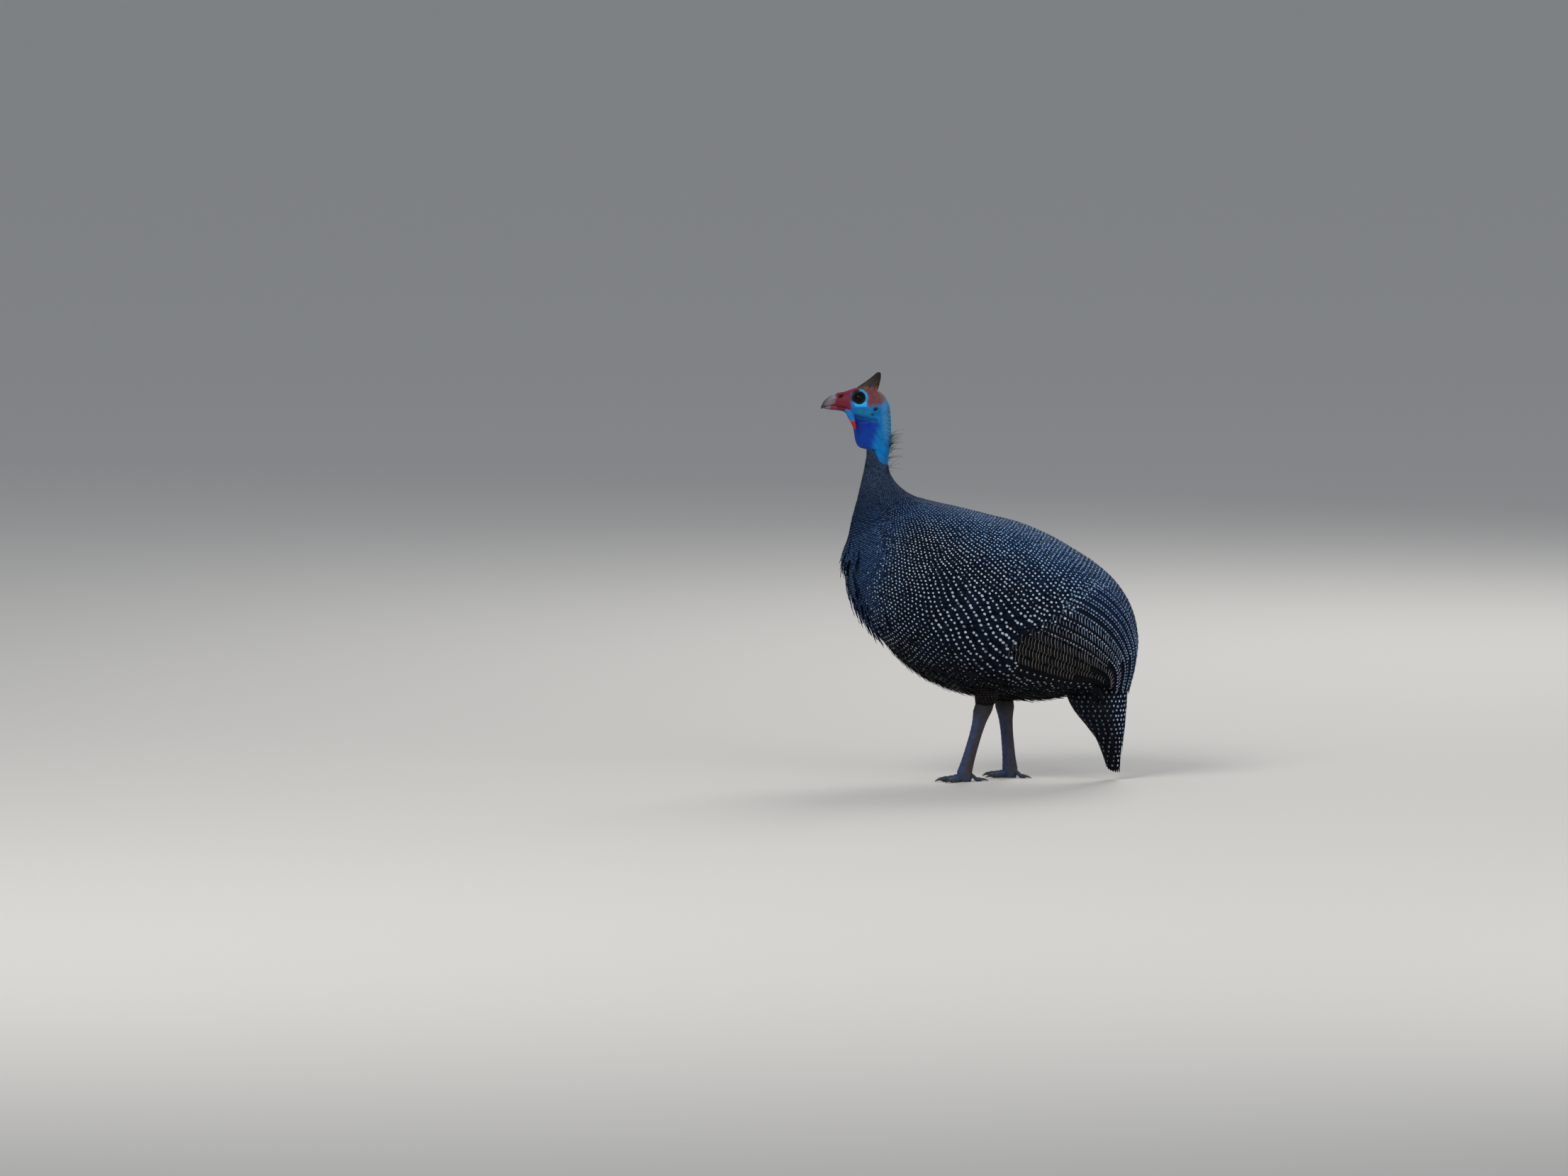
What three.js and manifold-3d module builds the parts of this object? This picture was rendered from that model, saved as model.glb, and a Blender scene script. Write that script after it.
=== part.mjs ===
// Helmeted guineafowl, life size, standing still with its head up and its tail hanging.
// Millimetres, +Z up. The bird looks along -X, and its left side faces -Y.
// The origin is on the floor, under the middle of the bird's bounding box.
import * as THREE from "three";
import { mergeVertices } from "three/addons/utils/BufferGeometryUtils.js";
import Module from "manifold-3d";

const wasm = await Module();
wasm.setup();

// Clearances and how finely the round forms are split
const SEAM = 0.35;
const TRUNK_RINGS = 26;
const TRUNK_SIDES = 22;
const SIDES = [
  { name: "left", sign: -1 },
  { name: "right", sign: 1 },
];

// The trunk's ribs from the top of the neck to the rump. Each runs from the line of the back to
// the line of the breast and belly, and has half the trunk's width there.
const RIBS = [
  { back: [-112, 384], belly: [-138, 391], half: 12 },
  { back: [-107.5, 370], belly: [-142, 371], half: 14.5 },
  { back: [-97, 357], belly: [-148.5, 343], half: 21 },
  { back: [-80, 346], belly: [-156.5, 312], half: 31 },
  { back: [-55, 339.5], belly: [-161.5, 275], half: 46 },
  { back: [-22, 332], belly: [-158, 243], half: 60 },
  { back: [14, 323], belly: [-142, 203], half: 71 },
  { back: [50, 313.5], belly: [-112, 163], half: 79 },
  { back: [84, 299], belly: [-72, 129], half: 83 },
  { back: [114, 282], belly: [-28, 109], half: 83 },
  { back: [142, 263.5], belly: [12, 102], half: 79 },
  { back: [167, 240], belly: [48, 99], half: 70 },
  { back: [185, 210], belly: [78, 100], half: 58 },
  { back: [192.7, 176], belly: [104, 104], half: 43 },
  { back: [191, 147], belly: [127, 112], half: 28 },
  { back: [182, 129], belly: [148, 119], half: 12 },
];
const LAST_RIB = RIBS.length - 1;
const TRUNK_FULLNESS = 0.93;

// The folded wing as a patch of the trunk: where it starts and ends, counted in ribs, and its
// upper and lower edges as angles from the line of the back, from shoulder to rear
const WING = {
  from: 4.6,
  to: 13.9,
  upper: [77, 57, 45, 37, 31, 27, 24, 22],
  lower: [84, 101, 112, 119, 124, 127, 128, 126],
  depth: 9,
  edgeDepth: 2.5,
  columns: 12,
  rows: 6,
};

// Tiers of vanes on the wing. a runs from shoulder to rear and b from upper to lower edge.
const WING_TIERS = [
  {
    count: 11,
    first: { b: 0.2, root: 0.34, tip: 1.03 },
    last: { b: 0.93, root: 0.36, tip: 0.93 },
    halfB: 0.062,
    rise: 1.9,
    steps: 4,
  },
  {
    count: 7,
    first: { b: 0.24, root: 0.2, tip: 0.55 },
    last: { b: 0.9, root: 0.22, tip: 0.5 },
    halfB: 0.086,
    rise: 2.9,
    steps: 3,
  },
  {
    count: 6,
    first: { b: 0.26, root: 0.09, tip: 0.36 },
    last: { b: 0.84, root: 0.1, tip: 0.33 },
    halfB: 0.095,
    rise: 3.7,
    steps: 3,
  },
];
const VANE_SUNK = 1.6;
const VANE_EDGE = 0.7;
const VANE_OUTLINE = [0.72, 0.95, 1, 0.92, 0.4];

// The tail as rings from root to tip: height, front and rear, and half its width
const TAIL_RINGS = [
  { z: 134, front: 118, rear: 184, half: 22 },
  { z: 108, front: 106, rear: 180, half: 25 },
  { z: 84, front: 117, rear: 177.5, half: 23 },
  { z: 58, front: 138, rear: 175, half: 18 },
  { z: 33, front: 149.5, rear: 172, half: 13.5 },
  { z: 9, front: 157, rear: 170.5, half: 9 },
];
// Tiers of tail vanes: how many, the widest angle from the rear line, and root and tip as shares
const TAIL_TIERS = [
  { count: 12, spread: 152, root: 0.2, tip: 1, shorter: 0.1, halfAngle: 19, rise: 0.4 },
  { count: 8, spread: 120, root: 0.12, tip: 0.66, shorter: 0.1, halfAngle: 21, rise: 1.2 },
  { count: 7, spread: 160, root: 0.06, tip: 0.4, shorter: 0.02, halfAngle: 27, rise: 2 },
];
const TAIL_CORE_END = 0.8;

// The head without its bill as upright rings from the bill's root to the nape
const SKULL_RINGS = [
  { x: -173.2, top: 471.3, bottom: 450.6, half: 7.3 },
  { x: -166, top: 473, bottom: 449, half: 9.2 },
  { x: -158, top: 475.6, bottom: 443, half: 11.6 },
  { x: -150, top: 478.2, bottom: 437, half: 13.4 },
  { x: -141, top: 479.2, bottom: 432, half: 14.2 },
  { x: -132, top: 478.4, bottom: 430, half: 14.2 },
  { x: -124, top: 475.6, bottom: 432, half: 13.4 },
  { x: -116.5, top: 469.3, bottom: 437, half: 11 },
  { x: -111.5, top: 461, bottom: 443, half: 7.5 },
  { x: -108.9, top: 454, bottom: 449, half: 3 },
];
// The bare neck with its throat lobe as level rings
const NECK_RINGS = [
  { z: 464, front: -150, rear: -114.5, half: 10 },
  { z: 455, front: -157, rear: -109.6, half: 12.4 },
  { z: 445, front: -159.3, rear: -108.2, half: 13 },
  { z: 435, front: -155.5, rear: -107.6, half: 13 },
  { z: 425, front: -153.2, rear: -107.5, half: 12.8 },
  { z: 415, front: -151.7, rear: -108, half: 12.6 },
  { z: 408.5, front: -149, rear: -108.8, half: 12.4 },
  { z: 404.2, front: -142.5, rear: -109.3, half: 12.1 },
  { z: 400, front: -137.3, rear: -109.9, half: 11.8 },
  { z: 392, front: -137.6, rear: -111, half: 11.8 },
  { z: 380, front: -139.5, rear: -111.8, half: 12.4 },
];
const LOBE_PINCH = 0.38;

// Planes that part the flesh, each through two points of the side view
const SEAMS = {
  head: [
    [-157, 437.5],
    [-107, 431],
  ],
  bareNeck: [
    [-138, 402],
    [-111, 387],
  ],
  neck: [
    [-159, 296],
    [-68, 343],
  ],
};

const EYE = { x: -146.6, y: 8.4, z: 466.6, radius: 6.3, lid: 5.9, lidTube: 1.35, lidY: 12.6 };
const EAR = { x: -126.5, y: 14.4, z: 452.4, long: 3, high: 2.1, deep: 2.6 };
const NOSTRIL = { x: -169, y: 8.2, z: 468.8, long: 3.4, high: 1.5, deep: 2.2, lean: 32 };
const GAPE = { from: -174, to: -162.5, z: 455.6, drop: 1.6, high: 0.6, deep: 1.4 };

const UPPER_BILL_RINGS = [
  { x: -193, top: 454.6, bottom: 453.1, half: 0.7 },
  { x: -190.3, top: 460, bottom: 453.4, half: 2.4 },
  { x: -186, top: 465, bottom: 454.4, half: 4 },
  { x: -180.5, top: 468.9, bottom: 455.2, half: 5.6 },
  { x: -173.5, top: 471.2, bottom: 455.7, half: 7.1 },
];
const LOWER_BILL_RINGS = [
  { x: -189.6, top: 453.1, bottom: 452.3, half: 1 },
  { x: -186, top: 454, bottom: 451.7, half: 2.6 },
  { x: -180.5, top: 454.8, bottom: 451.1, half: 4.3 },
  { x: -173.5, top: 455.3, bottom: 450.8, half: 5.9 },
];
const BILL_SIDES = 12;

// The bony casque as level rings that lean back to its blunt tip
const CASQUE_RINGS = [
  { z: 474, front: -151, rear: -119.5, half: 7.4 },
  { z: 479.5, front: -147.8, rear: -121.4, half: 6.2 },
  { z: 484, front: -141.6, rear: -122, half: 4.9 },
  { z: 489, front: -135.4, rear: -121.4, half: 3.8 },
  { z: 494, front: -129.6, rear: -120.6, half: 2.7 },
  { z: 497, front: -125.4, rear: -120.7, half: 1.5 },
];
const CASQUE_SEAM = [
  [-149, 480.3],
  [-120, 476.6],
];

// A wattle as level rings: where its edge meets the jaw, its outer edge, and its thickness
const WATTLE_RINGS = [
  { z: 454.5, x: -162.8, inner: 8.8, outer: 12.6, thick: 3.4 },
  { z: 449, x: -160, inner: 9, outer: 15.2, thick: 4 },
  { z: 442, x: -156.4, inner: 9.2, outer: 17.2, thick: 4.4 },
  { z: 435, x: -153.6, inner: 9.6, outer: 17.4, thick: 4.2 },
  { z: 430.4, x: -152.2, inner: 10.8, outer: 16.4, thick: 3.2 },
  { z: 428.4, x: -151.6, inner: 12.2, outer: 15, thick: 1.6 },
];

// The legs. Heights and centres are of the left leg, which stands forward, and of the right one.
const LEGS = {
  left: { hock: [6.3, 93], ankle: [-18.3, 13], thighTop: [14, 142], y: 25, toeTurn: 6 },
  right: { hock: [30.4, 93], ankle: [37.6, 13], thighTop: [26, 142], y: 25, toeTurn: 24 },
};
const THIGH_RINGS = [
  { share: 0, long: 27, wide: 22 },
  { share: 0.35, long: 22, wide: 18 },
  { share: 0.62, long: 16.5, wide: 14 },
  { share: 0.82, long: 13.5, wide: 11 },
  { share: 1, long: 11.6, wide: 8.8 },
];
const SHANK_RINGS = [
  { share: 0, long: 11.3, wide: 8.2 },
  { share: 0.09, long: 11.5, wide: 8.2 },
  { share: 0.19, long: 9.8, wide: 7.2 },
  { share: 0.28, long: 8.5, wide: 6.2 },
  { share: 0.45, long: 7.7, wide: 5.4 },
  { share: 0.65, long: 7.7, wide: 5.4 },
  { share: 0.83, long: 8.1, wide: 5.9 },
  { share: 1, long: 9.2, wide: 6.8 },
];
const TOES = [
  { name: "inner", angle: -38, length: 22, radius: 3.7, rootHeight: 5.2 },
  { name: "middle", angle: 0, length: 28, radius: 4.1, rootHeight: 5.4 },
  { name: "outer", angle: 36, length: 23, radius: 3.7, rootHeight: 5.2 },
  { name: "hind", angle: 184, length: 21, radius: 3.1, rootHeight: 13 },
];
const CLAW_LENGTH = 8.5;

const point = (x, y, z) => new THREE.Vector3(x, y, z);
const radians = THREE.MathUtils.degToRad;

// The value at share t, from 0 to 1, of a smooth line through a list of numbers.
function along(list, t) {
  const place = t * (list.length - 1);
  const i = Math.max(0, Math.min(Math.floor(place), list.length - 2));
  const f = place - i;
  const at = (k) => list[Math.max(0, Math.min(list.length - 1, k))];
  const [a, b, c, d] = [at(i - 1), at(i), at(i + 1), at(i + 2)];
  return b + 0.5 * f * (c - a + f * (2 * a - 5 * b + 4 * c - d + f * (3 * (b - c) + d - a)));
}

// A ring's fields at share t of a list of rings.
function ringAt(rings, t) {
  const made = {};
  for (const key of Object.keys(rings[0])) {
    made[key] = along(
      rings.map((ring) => ring[key]),
      t,
    );
  }
  return made;
}

const mix = (a, b, t) => a + (b - a) * t;

// A closed geometry through loops of points, with a fan over each end.
function lofted(loops) {
  const count = loops[0].length;
  const positions = loops.flat().flatMap((p) => p.toArray());
  const faces = [];
  for (let i = 0; i + 1 < loops.length; i++) {
    for (let j = 0; j < count; j++) {
      const k = (j + 1) % count;
      const [a, b, c, d] = [i * count + j, i * count + k, (i + 1) * count + k, (i + 1) * count + j];
      faces.push(a, b, c, a, c, d);
    }
  }
  for (const [loop, flip] of [
    [0, true],
    [loops.length - 1, false],
  ]) {
    const middle = loops[loop].reduce((sum, p) => sum.add(p), point(0, 0, 0)).divideScalar(count);
    const hub = positions.length / 3;
    positions.push(...middle.toArray());
    for (let j = 0; j < count; j++) {
      const edge = [loop * count + j, loop * count + ((j + 1) % count)];
      faces.push(hub, ...(flip ? edge.reverse() : edge));
    }
  }
  const geometry = new THREE.BufferGeometry();
  geometry.setAttribute("position", new THREE.Float32BufferAttribute(positions, 3));
  geometry.setIndex(faces);
  return geometry;
}

// A closed geometry as a solid that can be joined and cut.
function solid(geometry) {
  const bare = geometry.clone();
  bare.deleteAttribute("normal");
  bare.deleteAttribute("uv");
  const merged = mergeVertices(bare, 1e-4);
  const triVerts = new Uint32Array(merged.index.array);
  const make = () =>
    new wasm.Manifold(
      new wasm.Mesh({ numProp: 3, vertProperties: merged.attributes.position.array, triVerts }),
    );
  const made = make();
  if (made.volume() > 0) {
    return made;
  }
  for (let i = 0; i < triVerts.length; i += 3) {
    [triVerts[i + 1], triVerts[i + 2]] = [triVerts[i + 2], triVerts[i + 1]];
  }
  return make();
}

// The largest closed surface of a solid.
function largest(whole) {
  const bodies = whole.decompose();
  return bodies.reduce((best, body) => (body.volume() > best.volume() ? body : best));
}

// The part of a solid on one side of a plane that stands on the side view, through two points.
// side is 1 for above the line from the first point to the second, and -1 for below it.
function sideOf(whole, [first, second], side, gap = SEAM / 2) {
  const [dx, dz] = [second[0] - first[0], second[1] - first[1]];
  const length = Math.hypot(dx, dz);
  const normal = [(-dz / length) * side, 0, (dx / length) * side];
  return whole.trimByPlane(normal, normal[0] * first[0] + normal[2] * first[1] + gap);
}

// Upright rings along X as loops: an oval of the ring's height and width.
function uprightLoops(rings, count, sides, fullness = 1) {
  return Array.from({ length: count + 1 }, (_, i) => {
    const ring = ringAt(rings, i / count);
    const [middle, high] = [(ring.top + ring.bottom) / 2, (ring.top - ring.bottom) / 2];
    return ovalLoop(sides, fullness, (c, s) => point(ring.x, s * ring.half, middle + c * high));
  });
}

// Level rings along Z as loops: an oval from front to rear, pinched at the front by a share.
function levelLoops(rings, count, sides, pinch = 0, fullness = 1) {
  return Array.from({ length: count + 1 }, (_, i) => {
    const ring = ringAt(rings, i / count);
    const [middle, long] = [(ring.rear + ring.front) / 2, (ring.rear - ring.front) / 2];
    return ovalLoop(sides, fullness, (c, s) =>
      point(middle + c * long, s * ring.half * (1 - pinch * Math.max(0, -c)), ring.z),
    );
  });
}

// One loop of points from a place given by the cosine and sine of its angle.
function ovalLoop(sides, fullness, place) {
  const bulge = (value) => Math.sign(value) * Math.abs(value) ** fullness;
  return Array.from({ length: sides }, (_, j) => {
    const angle = (2 * Math.PI * j) / sides;
    return place(bulge(Math.cos(angle)), bulge(Math.sin(angle)));
  });
}

// A place on the trunk: rib counts from 0 to LAST_RIB, angle in degrees from the line of the
// back, on the side of the sign given.
function trunkPlace(rib, angle, sign) {
  const t = rib / LAST_RIB;
  const read = (pick) => along(RIBS.map(pick), t);
  const back = point(
    read((r) => r.back[0]),
    0,
    read((r) => r.back[1]),
  );
  const belly = point(
    read((r) => r.belly[0]),
    0,
    read((r) => r.belly[1]),
  );
  const [c, s] = [Math.cos(radians(angle)), Math.sin(radians(angle))];
  const bulge = (value) => Math.sign(value) * Math.abs(value) ** TRUNK_FULLNESS;
  const middle = back.clone().add(belly).multiplyScalar(0.5);
  const half = back.clone().sub(belly).multiplyScalar(0.5);
  const made = middle.addScaledVector(half, bulge(c));
  made.y = sign * read((r) => r.half) * bulge(s);
  return made;
}

// The same place moved out from the trunk's surface by some height.
function trunkPoint(rib, angle, sign, height = 0) {
  const here = trunkPlace(rib, angle, sign);
  if (height === 0) {
    return here;
  }
  const step = 0.05;
  const ahead = trunkPlace(Math.min(rib + step, LAST_RIB), angle, sign);
  const behind = trunkPlace(Math.max(rib - step, 0), angle, sign);
  const down = trunkPlace(rib, angle + 2, sign).sub(trunkPlace(rib, angle - 2, sign));
  const out = ahead.sub(behind).cross(down).normalize();
  return here.addScaledVector(out, height * (sign < 0 ? -1 : 1));
}

// The trunk as one solid, swollen by some height.
function trunkSolid(height = 0) {
  const loops = Array.from({ length: TRUNK_RINGS + 1 }, (_, i) =>
    Array.from({ length: TRUNK_SIDES }, (_, j) => {
      const angle = (360 * j) / TRUNK_SIDES;
      const rib = (LAST_RIB * i) / TRUNK_RINGS;
      return angle <= 180
        ? trunkPoint(rib, angle, -1, height)
        : trunkPoint(rib, 360 - angle, 1, height);
    }),
  );
  return solid(lofted(loops));
}

// A place on the folded wing, moved out from the trunk's surface by some height.
function wingPoint(sign, a, b, height) {
  const inside = Math.min(Math.max(a, 0), 1);
  const upper = along(WING.upper, inside);
  const lower = along(WING.lower, inside);
  const rib = Math.min(WING.from + (WING.to - WING.from) * a, LAST_RIB);
  return trunkPoint(rib, upper + (lower - upper) * b, sign, height);
}

// The block that parts the wing from the trunk, reaching some margin past the wing all round.
function wingBlock(sign, margin) {
  const [reachA, reachB] = [margin / 300, margin / 120];
  const outer = [];
  const inner = [];
  for (let i = 0; i <= WING.columns; i++) {
    const a = -reachA + ((1 + 2 * reachA) * i) / WING.columns;
    for (let j = 0; j <= WING.rows; j++) {
      const b = -reachB + ((1 + 2 * reachB) * j) / WING.rows;
      const swell = Math.sin(Math.PI * Math.min(Math.max(a, 0.06), 0.94)) ** 0.6;
      const belly = Math.sin((Math.PI * j) / WING.rows);
      const depth = WING.edgeDepth + (WING.depth - WING.edgeDepth) * swell * belly;
      outer.push(wingPoint(sign, a, b, 12));
      inner.push(wingPoint(sign, a, b, -depth - margin));
    }
  }
  return solid(slab(outer, inner, WING.columns, WING.rows));
}

// A closed geometry between two grids of points that match, both split along like diagonals.
function slab(top, bottom, columns, rows) {
  const across = rows + 1;
  const offset = top.length;
  const faces = [];
  const quad = (a, b, c, d) => faces.push(a, b, c, a, c, d);
  for (let i = 0; i < columns; i++) {
    for (let j = 0; j < rows; j++) {
      const [a, b, c, d] = [
        i * across + j,
        (i + 1) * across + j,
        (i + 1) * across + j + 1,
        i * across + j + 1,
      ];
      quad(a, b, c, d);
      faces.push(offset + a, offset + c, offset + b, offset + a, offset + d, offset + c);
    }
  }
  for (let i = 0; i < columns; i++) {
    const [a, b] = [i * across, (i + 1) * across];
    quad(b, a, offset + a, offset + b);
    quad(a + rows, b + rows, offset + b + rows, offset + a + rows);
  }
  for (let j = 0; j < rows; j++) {
    const last = columns * across;
    quad(j, j + 1, offset + j + 1, offset + j);
    quad(last + j + 1, last + j, offset + last + j, offset + last + j + 1);
  }
  const geometry = new THREE.BufferGeometry();
  const positions = [...top, ...bottom].flatMap((p) => p.toArray());
  geometry.setAttribute("position", new THREE.Float32BufferAttribute(positions, 3));
  geometry.setIndex(faces);
  return geometry;
}

// One vane that lies along a surface. place(t, side, height) gives a point of the surface at share
// t of the vane's length, side from -1 to 1 across it. The side at 1 stands proud of the next
// vane. solidTo is the share of the length whose underside stays sunk.
function vane(place, steps, rise, solidTo) {
  const top = [];
  const bottom = [];
  for (let i = 0; i <= steps; i++) {
    const t = i / steps;
    const width = along(VANE_OUTLINE, t);
    const lift = rise * Math.sin((Math.PI / 2) * Math.min(1, 0.25 + t));
    for (const side of [-1, 0, 1]) {
      const edge = side === 1 ? 1 : side === 0 ? 0.72 : 0.1;
      const height = lift * edge - (t === 0 ? VANE_SUNK * 0.5 : 0);
      const sunk = t < solidTo ? -VANE_SUNK : height - VANE_EDGE - 0.5 * (side === 0);
      top.push(place(t, side * width, height));
      bottom.push(place(t, side * width, Math.min(sunk, height - VANE_EDGE)));
    }
  }
  return solid(slab(top, bottom, steps, 2));
}

// The folded wing: its core, cut from the trunk, with its tiers of vanes, clear of the trunk.
function wing(trunk, trunkSwollen, sign) {
  const block = wingBlock(sign, 0);
  let made = trunk.intersect(block);
  for (const tier of WING_TIERS) {
    for (let k = 0; k < tier.count; k++) {
      const share = k / (tier.count - 1);
      const b = mix(tier.first.b, tier.last.b, share);
      const root = mix(tier.first.root, tier.last.root, share);
      const tip = mix(tier.first.tip, tier.last.tip, share);
      const place = (t, side, height) =>
        wingPoint(sign, mix(root, tip, t), b + side * tier.halfB, height);
      const over = tip > 0.97 ? 0.93 : 1.1;
      made = made.add(vane(place, tier.steps, tier.rise, over));
    }
  }
  return largest(made.subtract(trunkSwollen.subtract(block)));
}

// A place on the tail: share from root to tip, angle in degrees from its rear line, and height.
function tailPoint(t, angle, height) {
  const ring = ringAt(TAIL_RINGS, Math.min(t, 1));
  const [middle, long] = [(ring.rear + ring.front) / 2, (ring.rear - ring.front) / 2];
  const [c, s] = [Math.cos(radians(angle)), Math.sin(radians(angle))];
  const out = new THREE.Vector2(c / long, s / ring.half).normalize();
  return point(middle + c * long + out.x * height, s * ring.half + out.y * height, ring.z);
}

// The tail: a core with tiers of vanes that hang over its end.
function tail(trunkSwollen) {
  const rings = 7;
  const sides = 14;
  const loops = Array.from({ length: rings + 1 }, (_, i) =>
    Array.from({ length: sides }, (_, j) =>
      tailPoint((TAIL_CORE_END * i) / rings, (360 * j) / sides, -1.6 - 2.4 * (i / rings) ** 3),
    ),
  );
  let made = solid(lofted(loops));
  for (const tier of TAIL_TIERS) {
    for (let k = 0; k < tier.count; k++) {
      const share = (2 * k) / (tier.count - 1) - 1;
      const tip = tier.tip - tier.shorter * share * share;
      const direction = Math.sign(share) || 1;
      const place = (t, side, height) =>
        tailPoint(
          mix(tier.root, tip, t),
          share * tier.spread + direction * side * tier.halfAngle,
          height - 0.8,
        );
      const steps = tier.tip > 0.9 ? 4 : 3;
      made = made.add(vane(place, steps, tier.rise + 0.8, TAIL_CORE_END / tip - 0.35));
    }
  }
  return largest(made.subtract(trunkSwollen));
}

// An ellipsoid, turned about Y and moved into place.
function ellipsoid(x, y, z, long, deep, high, lean = 0) {
  const geometry = new THREE.SphereGeometry(1, 10, 6);
  geometry.scale(long, deep, high);
  geometry.rotateY(radians(lean));
  geometry.translate(x, y, z);
  return solid(geometry);
}

// The flesh of the bird without its wings, as one solid.
function flesh(trunk) {
  const skull = solid(lofted(uprightLoops(SKULL_RINGS, 12, 18)));
  const bareNeck = solid(lofted(levelLoops(NECK_RINGS, 14, 18, LOBE_PINCH)));
  return skull.add(bareNeck).add(trunk);
}

// The head's lids and ear rims, and the hollows of its eyes, ears, nostrils and gape.
function finishedHead(head) {
  let made = head;
  for (const { sign } of SIDES) {
    const lids = new THREE.TorusGeometry(EYE.lid, EYE.lidTube, 6, 14);
    lids.rotateX(Math.PI / 2);
    lids.translate(EYE.x, sign * EYE.lidY, EYE.z);
    const rim = new THREE.TorusGeometry(EAR.long, 0.9, 5, 10);
    rim.scale(1, EAR.high / EAR.long, 1);
    rim.rotateX(Math.PI / 2);
    rim.rotateZ(sign * radians(14));
    rim.translate(EAR.x, sign * (EAR.y - 1.6), EAR.z);
    made = made.add(solid(lids)).add(solid(rim));
  }
  for (const { sign } of SIDES) {
    const socket = new THREE.SphereGeometry(EYE.radius + SEAM, 14, 10);
    socket.translate(EYE.x, sign * EYE.y, EYE.z);
    const gape = new THREE.BoxGeometry(GAPE.to - GAPE.from, 2 * GAPE.deep, GAPE.high);
    gape.rotateY(radians(8));
    gape.rotateZ(sign * radians(-15));
    gape.translate((GAPE.from + GAPE.to) / 2, sign * 8.6, GAPE.z - GAPE.drop / 2);
    made = made
      .subtract(solid(socket))
      .subtract(ellipsoid(EAR.x, sign * EAR.y, EAR.z, EAR.long, EAR.deep, EAR.high))
      .subtract(
        ellipsoid(
          NOSTRIL.x,
          sign * NOSTRIL.y,
          NOSTRIL.z,
          NOSTRIL.long,
          NOSTRIL.deep,
          NOSTRIL.high,
          -NOSTRIL.lean,
        ),
      )
      .subtract(solid(gape));
  }
  return largest(made);
}

// The casque, cut off along the crown.
function casque() {
  return largest(sideOf(solid(lofted(levelLoops(CASQUE_RINGS, 8, 12))), CASQUE_SEAM, 1));
}

// A wattle: a flap whose broad side looks forward, hanging from the corner of the mouth.
function wattle(sign, head) {
  const steps = 7;
  const loops = Array.from({ length: steps + 1 }, (_, i) => {
    const ring = ringAt(WATTLE_RINGS, i / steps);
    const [middle, wide] = [(ring.inner + ring.outer) / 2, (ring.outer - ring.inner) / 2];
    return ovalLoop(10, 0.8, (c, s) =>
      point(ring.x + (c * ring.thick) / 2 + s * 0.8, sign * (middle + s * wide), ring.z),
    );
  });
  return largest(solid(lofted(loops)).subtract(head));
}

// Loops of ovals along a straight limb from one point to another, level all the way.
function limbLoops(from, to, rings, count, sides) {
  return Array.from({ length: count + 1 }, (_, i) => {
    const ring = ringAt(rings, i / count);
    const middle = from.clone().lerp(to, ring.share);
    return ovalLoop(sides, 1, (c, s) =>
      point(middle.x + c * ring.long, middle.y + s * ring.wide, middle.z),
    );
  });
}

// A thigh in its feathers, from inside the belly down to the hock.
function thigh(leg, sign, trunkSwollen) {
  const top = point(leg.thighTop[0], sign * (leg.y + 12), leg.thighTop[1]);
  const hock = point(leg.hock[0], sign * leg.y, leg.hock[1]);
  const loops = limbLoops(top, hock, THIGH_RINGS, 6, 14);
  return largest(solid(lofted(loops)).subtract(trunkSwollen));
}

// A shank, from the hock to the ankle.
function shank(leg, sign) {
  const hock = point(leg.hock[0], sign * leg.y, leg.hock[1] - SEAM);
  const ankle = point(leg.ankle[0], sign * leg.y, leg.ankle[1]);
  return solid(lofted(limbLoops(hock, ankle, SHANK_RINGS, 7, 12)));
}

// Loops along a toe or claw in an upright plane. Each stop has its distance, height and radius.
function toeLoops(origin, angle, stops, sides) {
  const way = point(Math.cos(angle), Math.sin(angle), 0);
  const across = point(-Math.sin(angle), Math.cos(angle), 0);
  return stops.map(({ out, z, radius, lean = 0 }) => {
    const middle = origin.clone().addScaledVector(way, out);
    middle.z = z;
    const up = point(0, 0, 1).multiplyScalar(Math.cos(lean)).addScaledVector(way, Math.sin(lean));
    return ovalLoop(sides, 1, (c, s) =>
      middle
        .clone()
        .addScaledVector(across, s * radius)
        .addScaledVector(up, c * radius),
    );
  });
}

// The direction of a toe on the floor, in radians.
function toeAngle(leg, sign, toe) {
  return Math.PI + sign * radians(-toe.angle - leg.toeTurn);
}

// A foot: its palm and four toes, with flats where they stand.
function foot(leg, sign) {
  const ankle = point(leg.ankle[0], sign * leg.y, 0);
  const palm = [
    { z: leg.ankle[1] - SEAM, long: 9.2, wide: 6.8 },
    { z: 9, long: 9.3, wide: 7.4 },
    { z: 4.5, long: 9, wide: 7.6 },
    { z: 1.6, long: 8.2, wide: 7 },
    { z: -0.8, long: 7, wide: 6 },
  ].map(({ z, long, wide }) =>
    ovalLoop(14, 1, (c, s) => point(ankle.x + c * long, ankle.y + s * wide, z)),
  );
  let made = solid(lofted(palm));
  for (const toe of TOES) {
    const r = toe.radius;
    const stops = [
      { out: 0, z: toe.rootHeight - r, radius: r * 0.95 },
      { out: toe.length * 0.36, z: mix(toe.rootHeight, r, 0.45), radius: r * 1.02 },
      { out: toe.length * 0.62, z: mix(toe.rootHeight, r, 0.85) - 0.6, radius: r },
      { out: toe.length * 0.73, z: r - 0.5, radius: r * 0.84 },
      { out: toe.length * 0.88, z: r - 0.8, radius: r * 0.88 },
      { out: toe.length, z: r - 0.7, radius: r * 0.62 },
    ];
    made = made.add(solid(lofted(toeLoops(ankle, toeAngle(leg, sign, toe), stops, 8))));
  }
  return largest(made.trimByPlane([0, 0, 1], 0));
}

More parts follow.
